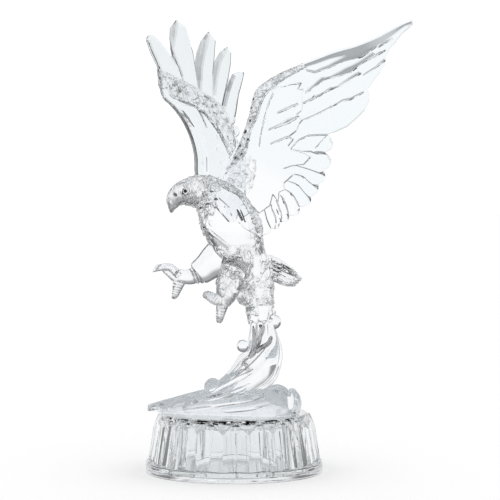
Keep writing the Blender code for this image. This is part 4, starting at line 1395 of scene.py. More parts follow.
@dataclass(frozen=True)
class EagleBody:
    """The eagle's head, trunk, legs, tail and the post that it stands on."""

    neck_rise: float = 1.0
    leg_rise: float = 0.5

    def trunk(self) -> Limb:
        """Return the trunk's limb."""
        return Limb((
            (-26, 0, 149, 7, 6.5), (-19.5, 0, 146.6, 11, 10), (-13, 0, 141.8, 14.6, 12.8),
            (-8, 0, 136, 17, 14.8), (-3.8, 0, 128.4, 18.2, 15.6), (-0.2, 0, 120.8, 18, 15.8),
            (3.4, 0, 113.4, 17, 15), (7.2, 0, 106.6, 14.2, 13), (11.5, 0, 99.5, 11.5, 11),
            (14.5, 0, 92, 10, 9.5), (16.5, 0, 84, 9, 8.8)), 12)

    def head(self) -> Limb:
        """Return the head's limb, from the nape to the tip of the beak."""
        return Limb((
            (-8, 0, 145.6, 7.6, 8), (-13, 0, 146.4, 9.8, 9.4), (-19.5, 0, 146.9, 10.8, 9.8),
            (-26.5, 0, 147, 10.3, 9.2), (-32.4, 0, 146, 9.2, 7.6), (-37.2, 0, 143.8, 7.6, 5.6),
            (-40, 0, 140.4, 5.8, 4.2), (-41.2, 0, 136.8, 3.3, 2.8), (-42, 0, 133, 0.8, 0.8)), 10)

    def far_thigh(self) -> Limb:
        """Return the raised leg's limb, on the far side."""
        return Limb((
            (2, 7, 113, 10, 6.5), (-6, 8, 107, 11.8, 8.5), (-13, 9, 100.6, 11.2, 8.8),
            (-19, 9.5, 95.6, 9.4, 8), (-23.6, 10, 92.4, 8.4, 7.4), (-25.4, 10, 91.2, 6.2, 6),
            (-30, 10, 89.6, 5.2, 5), (-36, 10, 89.8, 4.4, 4.4)), 8)

    def near_thigh(self) -> Limb:
        """Return the lowered leg's limb, on the near side."""
        return Limb((
            (5, -7, 111, 8.6, 6), (3, -11, 104.4, 10.2, 7.4), (1.2, -13.4, 97.4, 10.2, 8),
            (-0.6, -14.6, 93, 9, 7.4), (-3.2, -16, 85.6, 8.4, 7), (-5.2, -17.4, 78.6, 6.8, 6),
            (-7.2, -18, 73, 4.4, 4.4)), 10)

    def feathered(self, station: np.ndarray, angle: np.ndarray) -> np.ndarray:
        """Give where the trunk is feathered: the neck, the front of the chest and the back.

        Args:
            station: Places along the trunk.
            angle: Angles around it.

        Returns:
            Shares from 0 to 1.
        """
        turn = off_front(angle)
        reach = np.interp(station, (0.0, 1.0, 1.8, 2.4, 3.2, 4.4, 5.4),
                          (190.0, 140.0, 92.0, 66.0, 52.0, 42.0, 0.0))
        back = np.clip((turn - 140.0) / 8.0, 0.0, 1.0) * np.clip(7.5 - station, 0.0, 1.0)
        return np.maximum(np.clip((reach - turn) / 5.0, 0.0, 1.0), back)

    def worked(self, station: np.ndarray, angle: np.ndarray) -> np.ndarray:
        """Give how finely the trunk is carved: as it is feathered, and a little at its lower edges.

        Args:
            station: Places along the trunk.
            angle: Angles around it.

        Returns:
            Shares from 0 to 1.
        """
        turn = off_front(angle)
        edge = np.maximum(np.clip((turn - 110.0) / 10.0, 0.0, 1.0), np.clip((64.0 - turn) / 10.0, 0.0, 1.0))
        return np.maximum(self.feathered(station, angle),
                          0.7 * edge * np.clip((station - 4.8) * 2.0, 0.0, 1.0))

    def folds(self, station: np.ndarray, angle: np.ndarray) -> np.ndarray:
        """Return the relief of two folds round the far ankle."""
        return 0.7 * np.exp(-((station - 4.75) / 0.16) ** 2) + 0.6 * np.exp(-((station - 5.25) / 0.14) ** 2)

    def cuffed(self, station: np.ndarray, angle: np.ndarray) -> np.ndarray:
        """Return how finely the near thigh is carved: at its top and from the knee down."""
        return np.where((station < 1.3) | (station > 2.6), 0.7, 0.1)

    def broad(self, station: np.ndarray, angle: np.ndarray) -> np.ndarray:
        """Return the trunk's reach: its sides are flatter than an oval's."""
        squared = (np.abs(np.cos(angle)) ** 2.5 + np.abs(np.sin(angle)) ** 2.5) ** -0.4
        return 1.0 + (squared - 1.0) * np.clip(station - 2.0, 0.0, 1.0)

    def hackled(self, station: np.ndarray, angle: np.ndarray) -> np.ndarray:
        """Return how finely the head is carved: most at the nape, less from the brow to the beak."""
        return np.clip((4.6 - station) / 1.2, 0.6, 1.0) * 0.7

    def toes(self) -> list[Solid]:
        """Make the toes and claws of both feet, with knuckles.

        Returns:
            The six toes, first those of the far foot.
        """
        keys = (
            ((-35, 9, 89.6, 3.4, 3.4), (-39.4, 7.6, 93.2, 2.7, 2.6), (-42.6, 7, 96, 2.6, 2.5),
             (-46.6, 6.8, 96.4, 2.5, 2.3), (-50.8, 6.8, 95.4, 1.9, 1.8), (-54.8, 6.8, 93.2, 0.5, 0.5)),
            ((-35, 11, 88.4, 3.4, 3.4), (-39.8, 13, 88.8, 2.8, 2.6), (-44.2, 14.2, 92.4, 2.6, 2.4),
             (-48.2, 14.8, 95.6, 2, 1.9), (-51.4, 15, 96.4, 1.3, 1.2), (-54, 15.2, 94.6, 0.5, 0.5)),
            ((-35.4, 10, 89.4, 4.4, 4.2), (-37.4, 10, 85, 4, 3.8), (-38.8, 10, 80.4, 2.9, 2.8),
             (-40, 10, 77, 2.2, 2.1), (-41.4, 10, 75, 1, 1)),
            ((-7, -18.6, 75.6, 3.6, 3.6), (-11.6, -20.6, 76.2, 3.6, 3.4), (-15.2, -21.6, 78.2, 3.3, 3.1),
             (-18, -22.2, 79.6, 2.6, 2.4), (-20.2, -22.6, 78, 0.9, 0.9)),
            ((-7, -16.6, 75.6, 3.6, 3.6), (-11.4, -15, 75.6, 3.2, 3), (-14.8, -14, 77.2, 2.9, 2.7),
             (-17.2, -13.4, 78, 2.2, 2), (-19, -13.2, 76.4, 0.8, 0.8)),
            ((-7, -18, 76, 4.8, 4.6), (-8, -18, 71, 3.8, 3.6), (-9, -18, 66, 2.9, 2.8),
             (-9.6, -18, 62.4, 2.2, 2.1), (-9.8, -18, 60.8, 1.4, 1.4)),
        )

        def knuckles(station: np.ndarray, angle: np.ndarray) -> np.ndarray:
            """Return the scutes on top of a toe."""
            scute = np.abs(((station * 2.6) % 1.0) - 0.5)
            return np.clip(4.0 - station, 0.0, 1.0) * (0.25 - 0.5 * scute) * (np.cos(angle) < 0.6)

        return [Limb(stations, 8).solid(16, knuckles, carved=share)
                for stations, share in zip(keys, (0.0, 0.0, 0.2, 0.1, 0.5, 0.6))]

    def tail(self) -> list[Solid]:
        """Make the fan of tail feathers, its near edge lower.

        Returns:
            The feathers.
        """
        feathers = []
        count = 5
        for i in range(count):
            share = i / (count - 1)
            y = 9.0 - 12.0 * share
            reach = 1.0 - 0.12 * abs(share - 0.5) * 2.0
            limb = Limb((
                (13.0, 3.0 + (y - 3.0) * 0.35, 101.0 - 6.0 * share, 3.0, 3.4),
                (24.0, 3.0 + (y - 3.0) * 0.8, 101.0 - 9.0 * share, 3.1, 3.8),
                (13.0 + 21.0 * reach, y, 97.6 - 9.6 * share, 2.9, 4.2),
                (13.0 + 28.5 * reach, 3.0 + (y - 3.0) * 1.3, 93.6 - 7.6 * share, 2.2, 3.6),
                (13.0 + 32.0 * reach, 3.0 + (y - 3.0) * 1.4, 90.6 - 5.4 * share, 1.2, 1.8)), 10)
            feathers.append(limb.solid(20, shingles(1.6, 5, 0.3, 0.4, 3.4, seed=float(i)), carved=0.18))
        return feathers

    def build(self) -> Solid:
        """Build the whole body.

        Returns:
            The body's object.
        """
        trunk, head = self.trunk(), self.head()
        far_thigh, near_thigh = self.far_thigh(), self.near_thigh()
        post = Limb(((17.0, 0.0, 103.0, 8.4, 8.4), (17.0, 0.0, 92.0, 9.3, 9.0), (17.0, 0.0, 80.0, 9.3, 9.0),
                     (17.0, 0.0, SEAM_LEVEL - 1.0, 9.3, 9.2)), 12)
        skirt = Limb(((9.0, -3.0, 97.0, 8.6, 7.0), (9.0, -3.0, 87.0, 8.2, 7.4),
                      (9.3, -3.0, SEAM_LEVEL + 8.0, 7.3, 6.6), (11.6, -3.0, SEAM_LEVEL - 1.0, 4.4, 4.4)), 12)
        solids = [
            head.solid(72, shingles(1.6, 11, 1.0, 0.0, 3.4), carved=self.hackled),
            far_thigh.solid(64, self.folds, lambda station, angle: self.broad(
                np.clip(station + 3.0, 0.0, 3.0), angle)),
            near_thigh.solid(72, shingles(1.4, 9, self.leg_rise, 0.0, 1.1), carved=self.cuffed),
            post.solid(72, shingles(2.0, 9, 0.9, 0.3, 2.8, seed=2.0), carved=0.5),
            skirt.solid(64, shingles(1.8, 9, 0.9, 0.3, 2.6, seed=3.0), carved=0.8),
            bead((-36.0, 10.0, 90.6), 4.2), bead((-8.0, -18.2, 75.6), 4.8, carved=0.6),
        ]
        brow = ((-37.6, 4.6, 151.0), (-32.5, 6.6, 152.6), (-27.0, 7.8, 152.6))
        brows = [tube([(x, side * y, z) for x, y, z in brow], 1.1, 4, 10) for side in SIDES]
        ruff = trunk.plumage((
            (0.3, 1.5, -150, 150, 11, 1.6), (0.9, 2, -120, 120, 10, 1.7), (1.4, 2.6, -86, 86, 8, 1.7),
            (2, 3.2, -66, 66, 7, 1.7), (2.6, 3.8, -52, 52, 6, 1.6), (3.3, 4.5, -42, 42, 5, 1.5),
            (4.1, 5.3, -30, 30, 3, 1.3)))
        breeches = near_thigh.plumage((
            (0.7, 1.7, -250, -150, 4, 1), (1.4, 2.5, -270, -160, 4, 1), (2.2, 3.1, -200, -20, 7, 0.9),
            (3.2, 4.3, -180, 0, 5, 0.8)))
        vent = skirt.plumage(((0.2, 1.1, -150, 30, 5, 1.4), (0.7, 1.7, -140, 30, 5, 1.4),
                              (1.3, 2.5, -130, 50, 5, 1.4)))
        body = trunk.solid(128, shingles(1.6, 15, self.neck_rise, mask=self.feathered), self.broad,
                           self.worked)
        body.name = "eagle_body_cast"
        combine(body, solids + brows + self.toes() + self.tail() + ruff + breeches + vent, Cut.JOIN)
        seat_reach = 40.0
        seats = [
            block((3.0, -20.0, SEAM_LEVEL - 12.0), (40.0, 20.0, SEAM_LEVEL + GAP_PARTS)),
            block((-12.0, -seat_reach, 118.0), (24.0, -WING_SEAT_DEPTH, 154.0)),
            block((-14.0, WING_SEAT_DEPTH, 120.0), (24.0, seat_reach, 156.0)),
        ]
        gape = ((6.4, 150.0), (5.4, 138.0), (4.4, 130.0), (3.6, 122.0))
        beak_cuts = [head.groove([(place, side * degrees) for place, degrees in gape], 0.6) for side in SIDES]
        # The nostrils and the cheek line are painted near black: painted shade
        nostrils = [(-38.6, 5.0 * side, 144.9) for side in SIDES]
        beak_cuts += [bead(spot, 0.9, (1.0, 1.4, 1.3), 3, carved=-1.0) for spot in nostrils]
        cheek = tube(((-31.0, -5.0, 138.7), (-29.0, -5.7, 139.2), (-26.6, -6.2, 139.8)), 0.6, carved=-0.8)
        sockets = [bead((-32.3, 8.6 * side, 147.4), 2.1, fineness=3) for side in SIDES]
        # The flank and leg grooves are darkened by painted shade, by their last value
        flank_cuts = [trunk.groove(spots, radius, painted_shade) for spots, radius, painted_shade in (
            (((4.1, -36, 1.2), (4.6, -42, 0.8), (5.2, -51, 0.9), (5.8, -59, 1), (6.1, -63, 1.4)), 1, 0.6),
            (((4, -46, 1.4), (4.7, -55, 1.1), (5.5, -66, 1.1), (5.8, -69, 1.4)), 0.5, 0.4))]
        leg_cuts = [far_thigh.groove([(place, degrees) for degrees in range(0, 361, 20)], radius, painted_shade)
                    for place, radius, painted_shade in ((4.4, 0.5, 0.5), (5.0, 0.6, 0.8), (5.5, 0.4, 0.5))]
        leg_cuts.append(far_thigh.groove(((1.0, -20.0), (2.0, -24.0), (3.0, -24.0), (4.2, -20.0)), 0.7, 0.6))
        # The peg marks and the bubbles below are hollows darkened by painted shade
        pegs = [bead(spot, 1.1, (1.5, 1.0, 1.0), 1, carved=-1.0) for spot in (
            (-14.7, -10.2, 147.2), (-21.8, -8.6, 136.4), (-11.8, -13.6, 142.3), (-19.4, -7.6, 123.6),
            (-8.6, -13.8, 146), (-17.4, -12, 139))]
        bubbles = [bead(spot, 1.9, (1.0, 0.8, 1.3), 1, carved=-0.6) for spot in (
            (7, -11.4, 77), (10, -11.8, 81.5), (13.5, -11, 86), (5, -10.6, 83))]
        combine(body, seats + beak_cuts + [cheek] + sockets + flank_cuts + leg_cuts + pegs + bubbles,
                Cut.TAKE)
        settle(body, 20.0)
        bond(body, 2, (level_in_metres(SEAM_LEVEL + GAP_PARTS),))
        return body

    def build_eye(self, side: float) -> Solid:
        """Build the painted dot of one eye.

        The far dot sits a little off its mirrored place, so that the two don't show as a double dot
        through the clear head.

        Args:
            side: -1 for the left cheek, on the -Y side, or 1 for the right one.

        Returns:
            The dot's object.
        """
        x, z, name = (-32.3, 147.4, "eye_left_dot") if side < 0.0 else (-31.6, 146.9, "eye_right_dot")
        eye = bead((x, side * 7.4, z), 1.2, (1.0, 0.7, 1.0), 4)
        eye.name = name
        settle(eye, 30.0)
        return eye


@dataclass(frozen=True)
class LeftWing:
    """The wing on the camera's side, swept up and back: a clear web with cut feather lines."""

    sheet: WingSheet = WingSheet((1.5, LEFT_PLANE, 147.0), -7.0, 1.0, 44.0, 116.0)
    web_thickness: float = 3.4
    covert_thickness: float = 4.8

    def web(self) -> Solid:
        """Make the web with the outline of every feather tip. Each row is (u, v, bevel)."""
        return plate((
            (-13.2, 7.2), (-7.1, 15.8), (1.9, 30.5), (8.7, 46.3), (13.4, 62), (15.5, 66.6), (22.3, 71.9),
            (32.6, 76.4), (45.8, 80.7), (57.7, 85.1), (81.7, 92.2), (98.4, 98.8), (112.4, 105.7),
            (117.5, 107.2), (116.6, 105.6), (110.4, 100.7, 0.4), (106.5, 95.8, 0.4), (103.2, 92.4, 0.4),
            (101.2, 89.3, 0.5), (100.2, 86.9, 0.4), (99.5, 84.1, 0.5), (98.5, 81, 0.6), (95.8, 76.6, 0.6),
            (92.2, 72.3, 0.6), (87.9, 66.6, 0.4), (88.7, 62.8, 0.8), (88.3, 58.4, 0.9), (85.6, 53.3, 0.9),
            (81, 48.5, 0.9), (73.7, 42.4, 0.9), (65.8, 38.9, 0.8), (61.2, 37.6), (63.4, 35, 2.2),
            (64.5, 31.8, 1.7), (63.6, 28.8), (61.8, 27.1, 0.5), (59.3, 25.9), (61.5, 24, 2.4),
            (63.1, 21, 1.8), (62.4, 17.8), (60.4, 15.5, 0.5), (57.8, 14), (58.7, 12, 2.4), (59.1, 9.6),
            (57.7, 7, 0.5), (54.4, 5), (54.4, 2.7, 2.4), (54, 0.8), (52.4, -1.7), (49.4, -2.9),
            (49.6, -5.1, 2.2), (49.1, -7.2), (46.1, -9.3), (42.1, -9.7), (42, -12.4, 2.2), (40.7, -14.7),
            (37.9, -15.4), (35.1, -15.3), (35.1, -17.3, 2), (34, -18.9), (31.6, -19.7), (29, -19.6),
            (28.7, -22.2, 1.8), (27.4, -24.1), (25.4, -24.2), (23.1, -23.6), (22.8, -25.6), (21.1, -27.7),
            (19.1, -27.9, 0.4), (16.3, -29.6), (12.5, -27.9, 0.6), (9.6, -26.3, 0.8), (5.9, -24.5, 0.8),
            (1.2, -19.7, 0.8), (-3.4, -15.1, 0.8), (-6.1, -9.9, 0.8), (-11.4, -4.3, 0.8),
            (-13.7, 1.3, 0.5)), self.web_thickness, 0.45)

    def coverts(self) -> Solid:
        """Make the thicker field of coverts, which ends in a jagged step."""
        return plate((
            (32.4, 68.7), (38.1, 70.3, 0.4), (45.3, 70.9, 0.5), (43.1, 67.1, 0.6), (46.3, 67.1, 0.5),
            (44.9, 60.5, 0.5), (45.6, 58.2, 0.5), (44.7, 52.8, 0.5), (41.8, 50.6, 0.6), (45.2, 47, 0.6),
            (42.9, 44.7, 0.5), (40.7, 39.9, 0.5), (36.4, 36.8, 0.5), (38.9, 34.8, 0.5), (35.2, 30.2, 0.5),
            (36.8, 28, 0.5), (44.6, 26.4, 0.5), (50.1, 23.3, 0.6), (45.1, 18.1, 0.5), (37.1, 17.1, 0.5),
            (31.9, 15.5, 0.5), (38, 11.2, 0.6), (32, 6, 0.5), (32.3, 1.4, 0.5), (28.5, -0.3, 0.5),
            (28.1, -6.5, 0.5), (24.4, -1.9, 0.5), (22.4, -9.1, 0.5), (15.2, -14.2, 0.5), (10.2, -9, 0.6),
            (6, -3), (6.6, 6.2), (7.6, 13.2), (8.6, 27), (14.6, 46), (19.6, 59.2),
            (24.4, 66.4)), self.covert_thickness, 1.2)

    def web_lines(self) -> list[Solid]:
        """Make the tools that part the feathers of the web.

        Returns:
            The tools.
        """
        lines = (
            ((48.4, 78.7, 0.5, 0.3), (54.1, 77.3, 0.9, 0.3), (63.5, 80.5, 1.5, 0.3), (69.3, 82.8, 2.3, 0.3),
             (74.9, 84.5, 3.2, 0.3), (79.4, 85.5, 4.2, 0.3), (85.1, 87.3, 4.2, 0.3), (92.4, 92.3, 2.2, 0.3),
             (97.4, 96, 0.3, 0.3)),
            ((47.5, 64.2, 0.7, 0.3), (53.1, 68.2, 1.5, 0.3), (59, 72.1, 2.4, 0.3), (64.7, 74.1, 0.8, 0.3),
             (70.1, 75.5, 2.3, 0.3), (76.9, 77.3, 3.9, 0.3), (81.2, 80.4, 2.8, 0.3), (85, 83.4, 1.9, 0.3),
             (92.2, 88.2, 1.8, 0.3), (93.1, 89, 0.2, 0.2)),
            ((95, 92.5, 0.2, 0.2), (99.5, 95.6, 0.7, 0.3), (104.6, 98.1, 0.3, 0.2)),
            ((84.3, 82.8, 0.3, 0.2), (92.2, 86.6, 1, 0.3), (96.1, 88.9, 1, 0.3), (99.8, 91, 0.3, 0.2)),
            ((40, 55.9, 0.4, 0.2), (46.9, 58.2, 0.6, 0.3), (55.7, 62.1, 1.1, 0.3), (60.1, 64.8, 0.5, 0.3),
             (64, 66.6, 1.3, 0.3), (68.8, 68.1, 0.6, 0.3), (77.6, 73.6, 1.4, 0.3), (82.7, 76.1, 1.7, 0.3),
             (84, 76.9, 0.2, 0.2)),
            ((84.9, 75.4, 0.2, 0.2), (93.4, 80.4, 0.5, 0.3), (97.3, 83.4, 1, 0.3), (99.2, 85, 0.8, 0.3)),
            ((45.1, 47, 0.4, 0.3), (53.1, 50.2, 0.4, 0.3), (61.2, 54, 0.5, 0.3), (64.3, 56.2, 0.3, 0.2)),
            ((63, 54.6, 0.2, 0.2), (71.4, 59.4, 0.6, 0.3), (76.4, 60.1, 1.1, 0.3), (80.7, 62.5, 0.7, 0.3),
             (85.2, 64.8, 0.5, 0.2)),
            ((36.8, 28.5, 0.3, 0.2), (42.2, 34.3, 0.4, 0.3), (48.8, 37, 0.6, 0.3), (54.7, 37.4, 0.5, 0.3),
             (61.2, 37.5, 0.5, 0.3)),
            ((52.5, 28.7, 0.2, 0.2), (56.5, 32.9, 0.28, 0.2), (60.5, 37.1, 0.2, 0.2)),
            ((36.8, 28, 0.22, 0.2), (44.6, 26.5, 0.28, 0.2), (49.8, 26.5, 0.66, 0.24),
             (52.7, 25.4, 0.5, 0.24), (56.3, 25, 0.33, 0.24), (59.5, 25.7, 0.2, 0.2)),
            ((33.2, 18.4, 0.2, 0.2), (39.8, 17.4, 0.28, 0.2), (45.7, 15.8, 0.33, 0.2),
             (50.9, 13.9, 0.55, 0.24), (54.8, 12.3, 0.83, 0.42), (58, 13.5, 0.28, 0.3)),
            ((38.4, 11.8, 0.2, 0.2), (42, 10.8, 0.72, 0.42), (45.2, 9.3, 0.72, 0.42), (47.5, 7.1, 0.39, 0.2),
             (50.4, 4.7, 0.66, 0.36), (54.6, 4.6, 0.28, 0.3)),
            ((34.3, 7.3, 0.2, 0.2), (39.3, 5.2, 0.72, 0.42), (41.9, 3.2, 0.66, 0.42), (45.1, -0.6, 0.5, 0.24),
             (47.4, -3.4, 0.72, 0.48), (49.4, -3.3, 0.22, 0.24)),
            ((32, 2, 0.2, 0.2), (35.9, -0.7, 0.66, 0.42), (37.6, -2.5, 0.61, 0.42), (40.2, -7.1, 0.77, 0.24),
             (42.2, -10.1, 0.28, 0.24)),
            ((29, -1.9, 0.2, 0.2), (31, -4.8, 0.77, 0.42), (32.6, -7.8, 0.66, 0.36),
             (33.6, -11.4, 0.61, 0.24), (34.3, -14.3, 0.61, 0.42), (35.1, -15.7, 0.22, 0.24)),
            ((26.4, -5.2, 0.2, 0.2), (28.3, -10.6, 0.66, 0.24), (29.7, -14.4, 0.66, 0.24),
             (30, -17.6, 0.39, 0.24), (29, -19.9, 0.22, 0.24)),
            ((22.7, -7.2, 0.2, 0.2), (23.7, -11.8, 0.55, 0.24), (25.7, -16.3, 0.72, 0.24),
             (26.4, -20.3, 0.44, 0.24), (25.4, -24.5, 0.22, 0.24)),
            ((18.4, -10.5, 0.2, 0.2), (19.8, -17, 0.55, 0.2), (22.1, -22.3, 0.39, 0.2),
             (23.1, -23.8, 0.2, 0.2)),
            ((52, 26.2, 0.3, 0.2), (56.5, 25.6, 1.2, 0.2), (60.8, 24.3, 1.7, 0.2), (62.4, 21.5, 1, 0.2),
             (62.2, 19, 0.2, 0.2)),
        )
        tools = [tool for line in lines for tool in groove(
            line, self.web_thickness / 2, 0.55 if line[-1][1] < 30.0 else 0.3)]
        # Short strokes darkened by painted shade, share 0.8
        for u, v, degrees, reach, width in (
                (44.2, 9.9, -27, 1.9, 0.55), (56.9, 12, -8, 1.9, 0.7), (40.9, 4.4, -30, 1.8, 0.5),
                (52.1, 4.1, -22, 1.7, 0.6), (36.6, -1.6, -45, 1.6, 0.55), (48.3, -3.6, -50, 1.3, 0.6),
                (31.6, -6.5, -62, 2, 0.6), (34.3, -15.3, -45, 1.4, 0.6), (27.5, -13, -65, 2.2, 0.4),
                (29.6, -18.6, -60, 1.8, 0.5), (66.4, 56.4, 20, 1.6, 0.4), (52.6, 61.9, 60, 1.4, 0.4)):
            ahead, aside = reach * math.cos(math.radians(degrees)), reach * math.sin(math.radians(degrees))
            tools.extend(groove(((u - ahead, v - aside, 0.1, 0.1), (u, v, width, width),
                                 (u + ahead, v + aside, 0.1, 0.1)),
                                self.web_thickness / 2, 1.2, 0.8))
        return tools

    def covert_lines(self) -> list[Solid]:
        """Make the tools that cut strokes into the coverts, the bevel's foot and the peg marks.

        Returns:
            The tools.
        """
        lines = (
            ((28.4, 51.6, 0.2, 0.2), (34.4, 53.9, 0.8, 0.4), (38.9, 55.8, 1.1, 0.4), (42.7, 57.6, 0.5, 0.4)),
            ((22.4, 40.8, 0.2, 0.2), (26.7, 42.3, 0.7, 0.4), (32.1, 44.3, 1.2, 0.6), (35.4, 45.7, 2.2, 0.9),
             (38.4, 47.2, 1.6, 0.6), (42, 49.2, 0.6, 0.3)),
            ((23.4, 31.7, 0.2, 0.2), (29.7, 34, 0.8, 0.4), (35, 36.1, 0.8, 0.4), (39.3, 34.3, 0.4, 0.3)),
            ((16, 30, 0.2, 0.2), (17, 36, 0.2, 0.2), (19.6, 46.3, 0.3, 0.3), (23.8, 59.1, 0.3, 0.3),
             (26.6, 64.6, 0.2, 0.2)),
        )
        tools = [tool for line in lines for tool in groove(line, self.covert_thickness / 2)]
        # These strokes are darkened by painted shade, by their second value
        for line, painted_shade in ((((0.7, -11.4, 0.5, 0.5), (2.2, -14.4, 0.9, 0.9), (4.4, -18.8, 0.8, 0.8)), 1),
                           (((3, -11.4, 0.3, 0.3), (4.6, -15.4, 0.5, 0.5), (6.2, -19.8, 0.4, 0.4)), 1),
                           (((-2.6, -18, 0.4, 0.4), (-1.6, -18.8, 0.8, 0.8), (-0.6, -19.6, 0.3, 0.3)), 1),
                           (((-13, -2.4, 0.3, 0.3), (-9, -6, 0.3, 0.3), (-4.4, -10.2, 0.3, 0.3)), 0.3),
                           (((-2.4, -20.2, 0.4, 0.4), (3, -24.4, 0.5, 0.5), (8.4, -27.2, 0.4, 0.4)), 0.4)):
            tools.extend(groove(line, self.web_thickness / 2, 1.2, painted_shade))
        # The peg marks are painted dark: painted shade, share 1
        for u, v, reach in ((13.4, 60.2, 1.2), (12.2, 55, 1), (11, 46.5, 0.9), (7.7, 39.4, 1.3),
                            (9, 34.4, 0.8), (3.6, 30.4, 1.4), (4.4, 25, 1.1), (0.3, 22.6, 1.4),
                            (-2.4, 18.4, 1), (-6.2, 12.4, 0.9)):
            tools.extend(groove(((u - 0.5 * reach, v - reach, 0.1, 0.1), (u, v, 0.6, 0.6),
                                 (u + 0.5 * reach, v + reach, 0.1, 0.1)), 2.4, 1.0, 1.0))
        return tools

    def bands(self) -> list[Solid]:
        """Make the carved front edge, the bevel behind it, the rail, the root band and the tuft.

        Returns:
            The blanks.
        """
        rounded = ((0.0, 0.3), (0.14, 0.8), (0.34, 1.0), (0.6, 1.0), (0.84, 0.9), (1.0, 0.5))
        front = band((
            (-13.2, 7.2, -8.1, 6.5, 3), (-7.1, 15.8, -0.5, 16.7, 3.8), (-2.6, 23, 6.8, 23.9, 4.8),
            (1.9, 30.5, 8.9, 29.6, 5.6), (6.2, 40, 11.4, 40.4, 6.2), (9.8, 50, 15.8, 49.2, 6.4),
            (12.6, 60, 19.5, 59.2, 6.6), (15.5, 66.6, 23.1, 64.6, 6.4), (22.3, 71.9, 29.2, 69.6, 6),
            (32.6, 77.4, 36, 73.8, 5.4), (40, 80.4, 43.4, 77.6, 5), (46.6, 82.8, 49.1, 80.6, 4.8)),
            rounded, 0.8, 0.7, 1.0)
        bevel = band((
            (2, 17, 15.2, 14.5, 5), (6.4, 24.2, 14.6, 23.2, 5.2), (8.4, 29.6, 15.8, 30.5, 5.6),
            (11, 40.6, 18.4, 41.5, 6), (15.4, 49.2, 21, 50.8, 6.2), (19.1, 59.2, 24.4, 60.6, 6),
            (22.7, 64.8, 27.6, 65.4, 5.8), (28.8, 69.8, 32.4, 69, 5.6)),
            ((0.0, 1.0), (1.0, 0.8)), steps=3)
        rail = band((
            (45.3, 82.6, 47.1, 79.6, 5), (54, 85.8, 55.4, 82.2, 5.4), (63.9, 89.5, 64.2, 85.6, 5.8),
            (72, 91.9, 73.4, 87.6, 6), (81.1, 94.3, 82.9, 90, 6), (94, 99.1, 97.2, 94.7, 5.8),
            (105.4, 104.7, 107, 100.8, 5.2), (112.5, 108, 112.8, 104.8, 4.6),
            (117.3, 109.5, 116.8, 107.2, 3.8)),
            ((0.0, 1.0), (1.0, 0.56)))
        root = band((
            (-12.8, 7.4, -11, 3, 3.8), (-5, 4.6, -3.4, -0.6, 4.2), (1.6, 1.8, 1.2, -3.4, 4.8),
            (7.8, -1.9, 4.6, -7.6, 5), (11.6, -8.5, 7.4, -12.8, 5.2), (15.8, -15.1, 9.4, -17, 5),
            (18.2, -20.7, 10.8, -21.4, 4.8), (19.1, -26.6, 13.4, -27, 4.2)), rounded, 0.7, 0.6, 3.0)
        tuft = band((
            (-6, 6.6, -2.4, 17.1, 4.4), (-0.1, 4, 3, 21, 5), (6.4, 1.6, 7.8, 24, 5.2),
            (10.2, 2.2, 11.6, 24, 5.1), (12.6, 8, 14.2, 22, 4.9)),
            tuple((n / 7.0, 1.0 if 0 < n < 7 else 0.92) for n in range(8)), 0.6, 0.5, 4.0, 2)
        return [front, bevel, rail, root, tuft]

    def build(self) -> Solid:
        """Build the whole wing with the boss that seats on the body.

        Returns:
            The wing's object.
        """
        wing = self.web()
        wing.name = "wing_left_cast"
        combine(wing, self.web_lines(), Cut.TAKE)
        combine(wing, [self.coverts()] + self.bands(), Cut.JOIN)
        combine(wing, self.covert_lines(), Cut.TAKE)
        self.sheet.bend(wing)
        combine(wing, [boss(5.0, 135.0, 6.5, 8.0, -WING_SEAT_DEPTH - GAP_PARTS, LEFT_PLANE)], Cut.JOIN)
        settle(wing, 5.0)
        return wing


